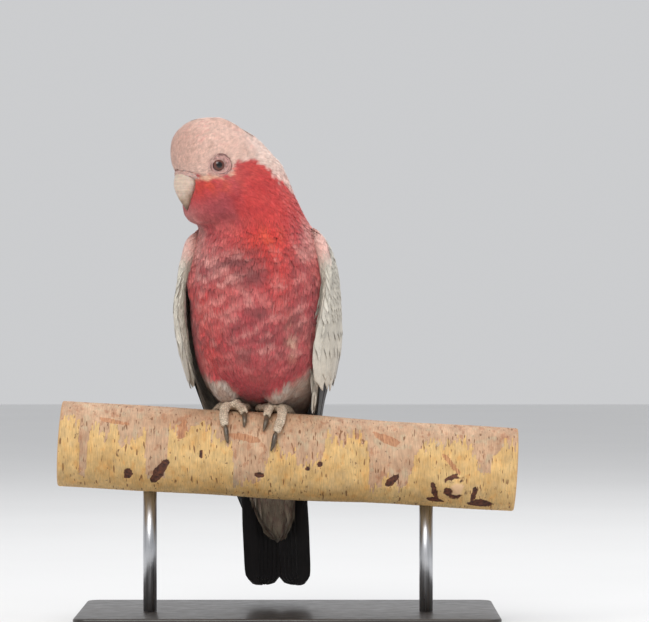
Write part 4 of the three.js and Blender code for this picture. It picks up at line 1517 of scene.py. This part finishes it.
form = sliced_ball(CERE_ROWS, head_space, 0.0, 120, 70)
mesh = finish_bmesh(form)
points = to_space(read_points(mesh), head_space)
wrinkle = bell(waves(points * (0.7, 1, 1.5), 2.2, 94), 0, 0.16)
lumps = 0.3 * waves(points, 2.4, 91) + 0.14 * waves(points, 0.9, 93) + 0.35 * wrinkle
inward = unit(np.array([0, -22, -6.0]) - points)
hole = sum(bell(np.linalg.norm(points - at, axis=1), 0, 1.15) for at in NOSTRILS)
lip = sum(bell(np.linalg.norm(points - at, axis=1), 1.9, 0.6) for at in NOSTRILS)
points = points + inward * (1.7 * hole - 0.3 * lip + lumps)[:, None]
write_points(mesh, to_world(points, head_space))
# an uneven tone, with painted shade in the nostrils and along the wrinkles' creases
uneven = (1.02 + 0.1 * waves(points, 1.8, 92)) * (1 - 0.85 * np.clip(hole, 0, 1)) * (1 - 0.45 * wrinkle)
tint = PLUMAGE["bare"] * uneven[:, None]
store(mesh, "tint", np.clip(tint, 0, 1))
piece("cere", mesh, skin_look.material)

# %% [markdown]
# ## Eyes
#
# Each eye is a glossy ball. Its rings are worked out from how far a point is turned away from where the eye
# looks: black pupil, dark red-brown iris with fine rays, then a darker rim under the lids.

# %% Make the eyes
PUPIL_TURN = 0.36  # radians from the middle of the eye to the pupil's edge
IRIS_TURN = 0.82


def eye_finish():
    look = Finish("wet eye", roughness=0.2, coat_weight=0.7, coat_roughness=0.02, specular_ior_level=0.2)
    turn = look.split(look.stored("gaze"))[0]
    rays = look.noise(look.place(), 1500.0, 3.0)
    rings = look.ramp(
        turn,
        (0.0, srgb(6, 5, 6)),
        (PUPIL_TURN - 0.03, srgb(8, 6, 6)),
        (PUPIL_TURN + 0.02, srgb(78, 38, 30)),
        (0.62, srgb(104, 56, 44)),
        (IRIS_TURN, srgb(56, 30, 26)),
        (0.95, srgb(22, 14, 14)),
    )
    fleck = look.ramp(rays, (0.3, 0.75), (0.7, 1.15))
    look.colour(look.times(rings, fleck))
    return look.material


eye_look = eye_finish()
for side, label in ((1, "left"), (-1, "right")):
    form = bmesh.new()
    bmesh.ops.create_uvsphere(form, u_segments=64, v_segments=48, radius=EYE_RADIUS)
    flat = np.array([vert.co for vert in form.verts])
    centre, look_way, back, up = eye_frame(side)
    bulge = 1 + 0.05 * bell(flat[:, 2], EYE_RADIUS, 1.2)
    place_verts(form, centre + (flat * bulge[:, None]) @ np.stack([back, up, look_way]), head_space)
    mesh = finish_bmesh(form)
    turn = np.arccos(np.clip(unit(to_space(read_points(mesh), head_space) - centre) @ look_way, -1, 1))
    store(mesh, "gaze", np.repeat(np.clip(turn, 0, 1)[:, None], 3, axis=1))
    piece(f"eyeball_{label}", mesh, eye_look, (f"eye_{label}",))

# %% [markdown]
# ## Feet
#
# Parrots have two toes in front and two behind. The feet are remeshed copies of the solids, finely wrinkled
# and covered with fine round scales in the material; the claws are smooth horn.

# %% Finish the feet and claws
def scaly_finish():
    look = Finish("scaly feet", roughness=0.62)
    where = look.place()
    near = look.cells(where, 620.0)
    border = look.cells(where, 620.0, feature="DISTANCE_TO_EDGE")
    tone = look.cloud(where, 160.0, 4.0, (0.3, srgb(196, 172, 146)), (0.7, srgb(232, 214, 190)))
    seam = look.ramp(border, (0.0, 0.42), (0.12, 1.0))
    dust = look.cloud(where, 1400.0, 3.0, (0.35, 0.85), (0.65, 1.08))
    look.colour(look.times(tone, seam, dust))
    dome = look.sum("MULTIPLY_ADD", near, -1.0, look.sum("MINIMUM", border, 0.15))
    look.bump(dome, 0.5 * MM, 0.9)
    return look.material


def claw_finish():
    look = Finish("claw horn", roughness=0.35, coat_weight=0.2)
    where = look.place()
    tone = look.cloud(where, 220.0, 5.0, (0.3, srgb(52, 42, 34)), (0.75, srgb(120, 102, 80)))
    line = look.cloud(where, 900.0, 5.0, (0.35, 0.8), (0.65, 1.1))
    look.colour(look.times(tone, line))
    look.bump(line, 0.08 * MM, 0.5)
    return look.material


scaly = scaly_finish()
claw_look = claw_finish()
for label in ("left", "right"):
    foot = with_modifiers(
        finish_bmesh(solid_copy(f"foot_{label}", grow=0.25 * MM)),
        ("REMESH", {"mode": "VOXEL", "voxel_size": 0.45 * MM}),
        ("SMOOTH", {"factor": 0.6, "iterations": 4}),
    )
    points = read_points(foot)
    normals = np.array([vert.normal for vert in foot.vertices])
    wrinkle = 0.16 * waves(points / MM, 2.4, 95) + 0.1 * waves(points / MM, 1.1, 96)
    write_points(foot, points + normals * wrinkle[:, None] * MM)
    piece(f"toes_{label}", foot, scaly, (f"foot_{label}",))
for name in [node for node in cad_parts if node.startswith("claw_")]:
    claw = finish_bmesh(solid_copy(name, grow=0.18 * MM))
    claw = with_modifiers(claw, ("SUBSURF", {"levels": 3, "render_levels": 3}))
    piece(f"nail{name[4:]}", claw, claw_look, (name,))

# %% [markdown]
# ## Perch
#
# The perch is a birch branch. Its pinkish inner bark shows between yellow-tan patches that have ragged edges
# across the branch, short dark lenticels run round it, and there are scars, torn strips and a healed knot.
# Each of these is a place along the branch and an angle round it.

# %% Name the marks on the branch
PERCH_ENDS = (-132.0, 172.0)  # along the perch's axis
# along, degrees from the top towards the front, size, height
KNOTS = [(133, 117, 11, 3.2), (-88, 95, 7, 1.4), (86, -60, 9, 2.2), (-40, -130, 8, 1.8)]
# along, degrees, half length, half width, lean in degrees
SCARS = [
    (-85, 126, 3, 4.4, 0),
    (-64.7, 121, 11, 3.4, -63),
    (1.8, 116, 3.4, 2, 0),
    (41.8, 96, 1.7, 1.9, 0),
    (34.2, 103, 1.7, 1.4, 0),
    (-37.4, 91, 1.1, 3.2, 0),
    (89.9, 114, 6.4, 2.6, -50),
    (118.5, 127, 8, 1.8, 76),
    (119.5, 145, 6, 2.6, 8),
    (149, 146, 8, 4.6, 0),
    (144.5, 128, 7.5, 1.7, 98),
    (64, -40, 7, 3, 30),
    (-30, -95, 8, 3, -50),
    (120, -120, 6, 4, 20),
]
# rusty places where a strip was torn off, in the same numbers
TORN = [
    (-8, 66, 10, 2.6, 12),
    (85, 55, 10, 3.4, 28),
    (-51, 58, 3, 8, 10),
    (-98, 52, 9, 2, 10),
    (128, 84, 9, 1.6, 48),
]
# along the perch, and how many degrees from the top the yellow bark begins
YELLOW_FROM = np.array(
    [
        [-132, 50], [-119, 52], [-117.5, 128], [-113.5, 134], [-112, 70], [-105, 62], [-101, 82],
        [-98, 52], [-94, 54], [-92, 84], [-82, 76], [-75, 72], [-73, 134], [-60.5, 128], [-59, 56],
        [-50, 68], [-46, 50], [-36, 48], [-30, 62], [-24, 74], [-16.5, 80], [-15, 138], [0, 124],
        [6, 102], [8, 74], [12, 70], [18, 90], [24, 84], [30, 98], [44, 90], [45.5, 54], [55, 56],
        [57, 76], [59, 53], [68, 52], [74, 72], [75.5, 138], [90, 102], [96, 130], [102, 112],
        [104, 72], [110, 60], [120, 52], [140, 50], [143, 66], [148, 96], [154, 92], [158, 62],
        [164, 50], [172, 50],
    ]
)


def perch_radius(x, angle):
    """The radius at x millimetres along and at an angle in degrees from the top."""
    along = (x - PERCH_ENDS[0]) / (PERCH_ENDS[1] - PERCH_ENDS[0])
    radius = PERCH_RADIUS / MM - 1.2 * (along - 0.43) + 0.35 * np.sin(x / 31 + 1.2)
    radius = radius + 0.3 * np.sin(x / 17 + np.radians(2 * angle))
    for at, turn, size, high in KNOTS:
        radius = radius + high * np.exp(-(around_perch(x, angle, at, turn, size, size)))
    return radius


def around_perch(x, angle, at, turn, long, wide, lean=0):
    """Squared distance from a mark on the bark, in units of its half length and half width."""
    dx = x - at
    da = np.radians((angle - turn + 540) % 360 - 180) * PERCH_RADIUS / MM
    c, s = math.cos(math.radians(lean)), math.sin(math.radians(lean))
    return ((dx * c + da * s) / long) ** 2 + ((da * c - dx * s) / wide) ** 2


print(f"{len(SCARS)} scars, {len(TORN)} torn strips and {len(KNOTS)} knots")

# %% [markdown]
# The branch is a fine ball pulled into a cylinder. Its first and last slices make the cut ends.

# %% Press the marks into the branch
def marked(places, ragged, none, full):
    """1 inside the marks and 0 outside, by squared distances at which they begin and are whole."""
    share = np.zeros(len(x))
    for at, turn, long, wide, lean in places:
        away = around_perch(x, angle, at, turn, long, wide, lean) * ragged
        share = np.maximum(share, ease(none, full, away))
    return share


form = bmesh.new()
bmesh.ops.create_uvsphere(form, u_segments=240, v_segments=330, radius=1)
flat = np.array([vert.co for vert in form.verts])
level = 0.5 - np.arcsin(np.clip(flat[:, 2], -1, 1)) / math.pi
CAP = 0.04  # the share of the ball that makes each cut end
body_share = np.clip((level - CAP) / (1 - 2 * CAP), 0, 1)
x = PERCH_ENDS[0] + (PERCH_ENDS[1] - PERCH_ENDS[0]) * body_share
angle = np.degrees(np.arctan2(flat[:, 0], flat[:, 1])) % 360
rim = np.clip(np.minimum(level, 1 - level) / CAP, 0, 1)
radius = perch_radius(x, angle)
around = np.radians(angle)
skin_place = np.stack([x, 28 * np.sin(around), 28 * np.cos(around)], axis=1)
peel = waves(skin_place * (1, 0.22, 0.22), 26, 101) + 0.5 * waves(skin_place * (1, 0.5, 0.5), 7, 102)
tongues = 11 * waves(skin_place * (1, 0.14, 0.14), 3.6, 108)
tongues = tongues + 7 * waves(skin_place * (1, 0.2, 0.2), 1.7, 109)
from_top = (angle + 60) % 360 - 60
yellow = (from_top - np.interp(x, YELLOW_FROM[:, 0], YELLOW_FROM[:, 1]) + tongues) / 14
in_front = ease(-50, -20, from_top) * ease(190, 160, from_top)
peel = peel + (np.clip(yellow, -1.2, 1.2) - peel) * in_front
torn_off = marked(TORN, 1 + 0.5 * waves(skin_place, 4, 107), 1.3, 0.6)
scar = marked(SCARS, 1 + 0.35 * waves(skin_place, 6, 103), 1.25, 0.7)
bud = np.zeros(len(x))
swirl = np.zeros(len(x))
for at, turn, size, high in KNOTS:
    away = np.sqrt(around_perch(x, angle, at, turn, size, size)) + 0.12 * waves(skin_place, 5, 104)
    bud = np.maximum(bud, ease(0.42, 0.28, away) * (high > 2))
    dark_side = 0.45 + 0.75 * ease(6, -3, x - at)
    swirl = np.maximum(swirl, bell(away, 0.62, 0.26) * (high / 3.2) * dark_side)
scar = np.maximum(scar, swirl * ease(-0.9, 0.3, waves(skin_place, 9, 105)))
relief = 0.22 * ease(-0.1, 0.15, peel) + 0.1 * waves(skin_place, 3, 106) - 0.5 * scar + 0.5 * bud
edge_round = np.sqrt(np.clip(1 - ((rim - 0.9) / 0.1).clip(0, 1) ** 2, 0, 1))
radius = (radius + relief - 0.35) * rim
x = x + np.where(level < 0.5, -1, 1) * 0.4 * (edge_round - 1)
place = np.stack([x, -radius * np.sin(around), radius * np.cos(around)], axis=1)
place_verts(form, place, perch_space)
perch_mesh = finish_bmesh(form)
marks = np.stack([scar, ease(-0.06, 0.1, peel), ease(1.0, 0.985, rim)], axis=1)
store(perch_mesh, "bark", marks)
store(perch_mesh, "bud", np.stack([bud, rim, torn_off], axis=1))
print(f"branch: {PERCH_ENDS[1] - PERCH_ENDS[0]:.0f} mm long")

# %% [markdown]
# The bark's graph mixes four tones by those marks and breaks every edge with noise. Lenticels are noise
# stretched along the branch's girth; the cut ends show growth rings.

# %% Finish the perch
def bark_finish():
    look = Finish("birch bark", roughness=0.68)

    def grain(girth, scale, detail):
        """Noise that is stretched round the branch where girth is below 1."""
        return look.noise(look.place((1, girth, girth), (0, PERCH_SLOPE, 0)), scale, detail)

    scar_mark, peel_mark, end_mark = look.split(look.stored("bark"))
    bud_mark, rim_mark, torn_mark = look.split(look.stored("bud"))
    rag = grain(0.3, 700.0, 7.0)
    cloud = grain(1, 45.0, 5.0)
    blotch = grain(0.6, 210.0, 7.0)
    fibre = grain(0.12, 1500.0, 4.0)
    # pinkish inner bark and tan outer bark, each with paler and rustier blotches
    pink = look.ramp(cloud, (0.3, srgb(184, 144, 112)), (0.7, srgb(206, 170, 138)))
    pink = look.mix(look.ramp(blotch, (0.54, 0.0), (0.64, 0.6)), pink, srgb(188, 170, 140))
    pink = look.mix(look.ramp(blotch, (0.36, 0.7), (0.44, 0.0)), pink, srgb(172, 118, 84))
    tan = look.ramp(cloud, (0.3, srgb(204, 160, 98)), (0.7, srgb(226, 190, 130)))
    tan = look.mix(look.ramp(blotch, (0.5, 0.0), (0.66, 0.65)), tan, srgb(202, 170, 122))
    tan = look.mix(look.ramp(blotch, (0.34, 0.6), (0.44, 0.0)), tan, srgb(212, 156, 88))
    edge = look.sum("MULTIPLY_ADD", rag, 0.9, look.sum("MULTIPLY", peel_mark, 0.5))
    peeled = look.ramp(edge, (0.63, 0.0), (0.76, 1.0))
    colour = look.mix(peeled, pink, tan)
    colour = look.times(colour, look.ramp(fibre, (0.35, 0.82), (0.62, 1.08)))
    # lenticels, dots and dirt
    specks = look.ramp(grain(0.2, 640.0, 1.0), (0.66, 0.0), (0.7, 1.0))
    colour = look.mix(look.sum("MULTIPLY", specks, 0.85), colour, srgb(120, 78, 44))
    dots = look.ramp(grain(0.5, 520.0, 2.0), (0.68, 0.0), (0.72, 1.0))
    colour = look.mix(look.sum("MULTIPLY", dots, 0.7), colour, srgb(98, 66, 44))
    colour = look.times(colour, look.ramp(grain(1, 120.0, 6.0), (0.35, 0.84), (0.65, 1.06)))
    # torn strips, scars and the healed knot
    rust = look.ramp(fibre, (0.35, srgb(146, 90, 58)), (0.65, srgb(198, 140, 98)))
    frayed = look.sum("MULTIPLY_ADD", look.sum("SUBTRACT", rag, 0.5), 0.9, torn_mark)
    colour = look.mix(look.ramp(frayed, (0.4, 0.0), (0.6, 0.8)), colour, rust)
    deep = look.ramp(grain(1, 500.0, 4.0), (0.35, srgb(52, 28, 20)), (0.7, srgb(112, 62, 40)))
    torn = look.sum("MULTIPLY_ADD", look.sum("SUBTRACT", rag, 0.5), 0.7, scar_mark)
    colour = look.mix(look.ramp(torn, (0.35, 0.0), (0.55, 1.0)), colour, deep)
    colour = look.mix(bud_mark, colour, srgb(214, 176, 136))
    turns = look.sum("SINE", look.sum("MULTIPLY", rim_mark, 80.0))
    rings = look.ramp(turns, (0.0, srgb(196, 156, 112)), (1.0, srgb(222, 190, 150)))
    look.colour(look.mix(end_mark, colour, rings))
    height = look.sum("MULTIPLY_ADD", peeled, 0.6, look.sum("MULTIPLY", rag, 0.7))
    height = look.sum("SUBTRACT", height, look.sum("MULTIPLY", specks, 0.5))
    look.bump(height, 0.35 * MM, 0.8)
    return look.material


piece("branch", perch_mesh, bark_finish(), ("perch",))

# %% [markdown]
# ## Stand
#
# The stand is plain: a dark lacquered wooden base with softened edges, and two satin steel rods up to the
# perch. Each rod is remade as a round cylinder that fills its solid's box, with a brushed finish.

# %% Finish the stand
low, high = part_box("stand_base")
form = bmesh.new()
bmesh.ops.create_cube(form, size=1)
bmesh.ops.scale(form, verts=form.verts, vec=high - low)
bmesh.ops.translate(form, verts=form.verts, vec=(high + low) / 2)
uprights = [edge for edge in form.edges if abs(edge.verts[0].co.z - edge.verts[1].co.z) > 1 * MM]
bmesh.ops.bevel(
    form, geom=uprights, offset=10 * MM, segments=12, profile=0.5, affect="EDGES", material=-1
)
rims = [edge for edge in form.edges if abs(edge.verts[0].co.z - edge.verts[1].co.z) < 0.01 * MM]
rims = [edge for edge in rims if edge.calc_face_angle(0) > 1]
bmesh.ops.bevel(form, geom=rims, offset=1.6 * MM, segments=4, profile=0.5, affect="EDGES", material=-1)

lacquer = Finish("dark lacquer", roughness=0.4, coat_weight=0.35, coat_roughness=0.2)
grain = lacquer.noise(lacquer.place((4, 60, 60)), 6.0, 8.0)
lacquer.colour(lacquer.ramp(grain, (0.3, srgb(38, 34, 32)), (0.7, srgb(62, 55, 50))))
lacquer.rough(lacquer.cloud(lacquer.place(), 90.0, 5.0, (0.3, 0.34), (0.7, 0.5)))
lacquer.bump(grain, 0.12 * MM, 0.5)
piece("plinth", finish_bmesh(form), lacquer.material, ("stand_base",))

steel = Finish("satin steel", metallic=1.0, roughness=0.32)
brushed = steel.noise(steel.place((900, 900, 30)), 1.0, 4.0)
steel.colour(steel.ramp(brushed, (0.3, srgb(168, 170, 174)), (0.7, srgb(204, 205, 208))))
steel.rough(steel.ramp(brushed, (0.3, 0.26), (0.7, 0.42)))
for label in ("left", "right"):
    low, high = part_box(f"stand_rod_{label}")
    form = bmesh.new()
    middle = Matrix.Translation((low + high) / 2)
    wide = (high.x - low.x) / 2
    bmesh.ops.create_cone(
        form, cap_ends=True, segments=48, radius1=wide, radius2=wide, depth=high.z - low.z, matrix=middle
    )
    piece(f"rod_{label}", finish_bmesh(form), steel.material, (f"stand_rod_{label}",))

# %% [markdown]
# ## Floor, light and camera
#
# A pale floor, a pale sky and large soft lamps suit a museum piece. The camera looks level along +Y with a
# long lens, so that the bird and its perch are seen as if from a few metres away.

# %% Set the stage
floor_form = bmesh.new()
bmesh.ops.create_grid(floor_form, x_segments=1, y_segments=1, size=6)
floor = bpy.data.objects.new("floor", finish_bmesh(floor_form))
bpy.context.scene.collection.objects.link(floor)
floor_look = Finish("pale floor", roughness=0.8)
floor_look.colour(floor_look.cloud(floor_look.place(), 3.0, 4.0, (0.3, 0.78), (0.7, 0.8)))
floor.data.materials.append(floor_look.material)

world = bpy.data.worlds.new("soft sky")
bpy.context.scene.world = world
world.use_nodes = True
world.node_tree.nodes["Background"].inputs["Color"].default_value = (0.97, 0.98, 1.0, 1)
world.node_tree.nodes["Background"].inputs["Strength"].default_value = 0.62


def lamp(name, place, target, size, power, colour=(1, 1, 1), seen=True):
    light = bpy.data.lights.new(name, "AREA")
    light.size = size
    light.energy = power
    light.color = colour
    thing = bpy.data.objects.new(name, light)
    thing.location = place
    thing.rotation_euler = (Vector(target) - Vector(place)).to_track_quat("-Z", "Y").to_euler()
    thing.visible_glossy = seen
    bpy.context.scene.collection.objects.link(thing)


AIM = (0.0, 0.0, 0.2)
lamp("window", (-0.5, -1.6, 1.7), AIM, 1.3, 26, (1.0, 0.985, 0.96))
lamp("fill", (1.6, -1.0, 0.7), AIM, 1.2, 7, (0.95, 0.97, 1.0), seen=False)
lamp("sky light", (0.2, 0.9, 1.9), AIM, 1.2, 16)

FRAME_CENTRE = Vector((0.0243, -0.02, 0.2123))
FRAME_WIDE = 0.4327  # what the view takes in at the bird, in metres
DISTANCE = 2.5
camera = bpy.data.objects.new("camera", bpy.data.cameras.new("camera"))
bpy.context.scene.collection.objects.link(camera)
bpy.context.scene.camera = camera
camera.location = FRAME_CENTRE - Vector((0, DISTANCE, 0))
camera.rotation_euler = (math.radians(90), 0, 0)
camera.data.sensor_width = 36
camera.data.lens = 36 * DISTANCE / FRAME_WIDE
camera.data.clip_end = 20
bpy.context.scene.view_settings.view_transform = "Standard"
print(f"camera {DISTANCE} m away, lens {camera.data.lens:.0f} mm")
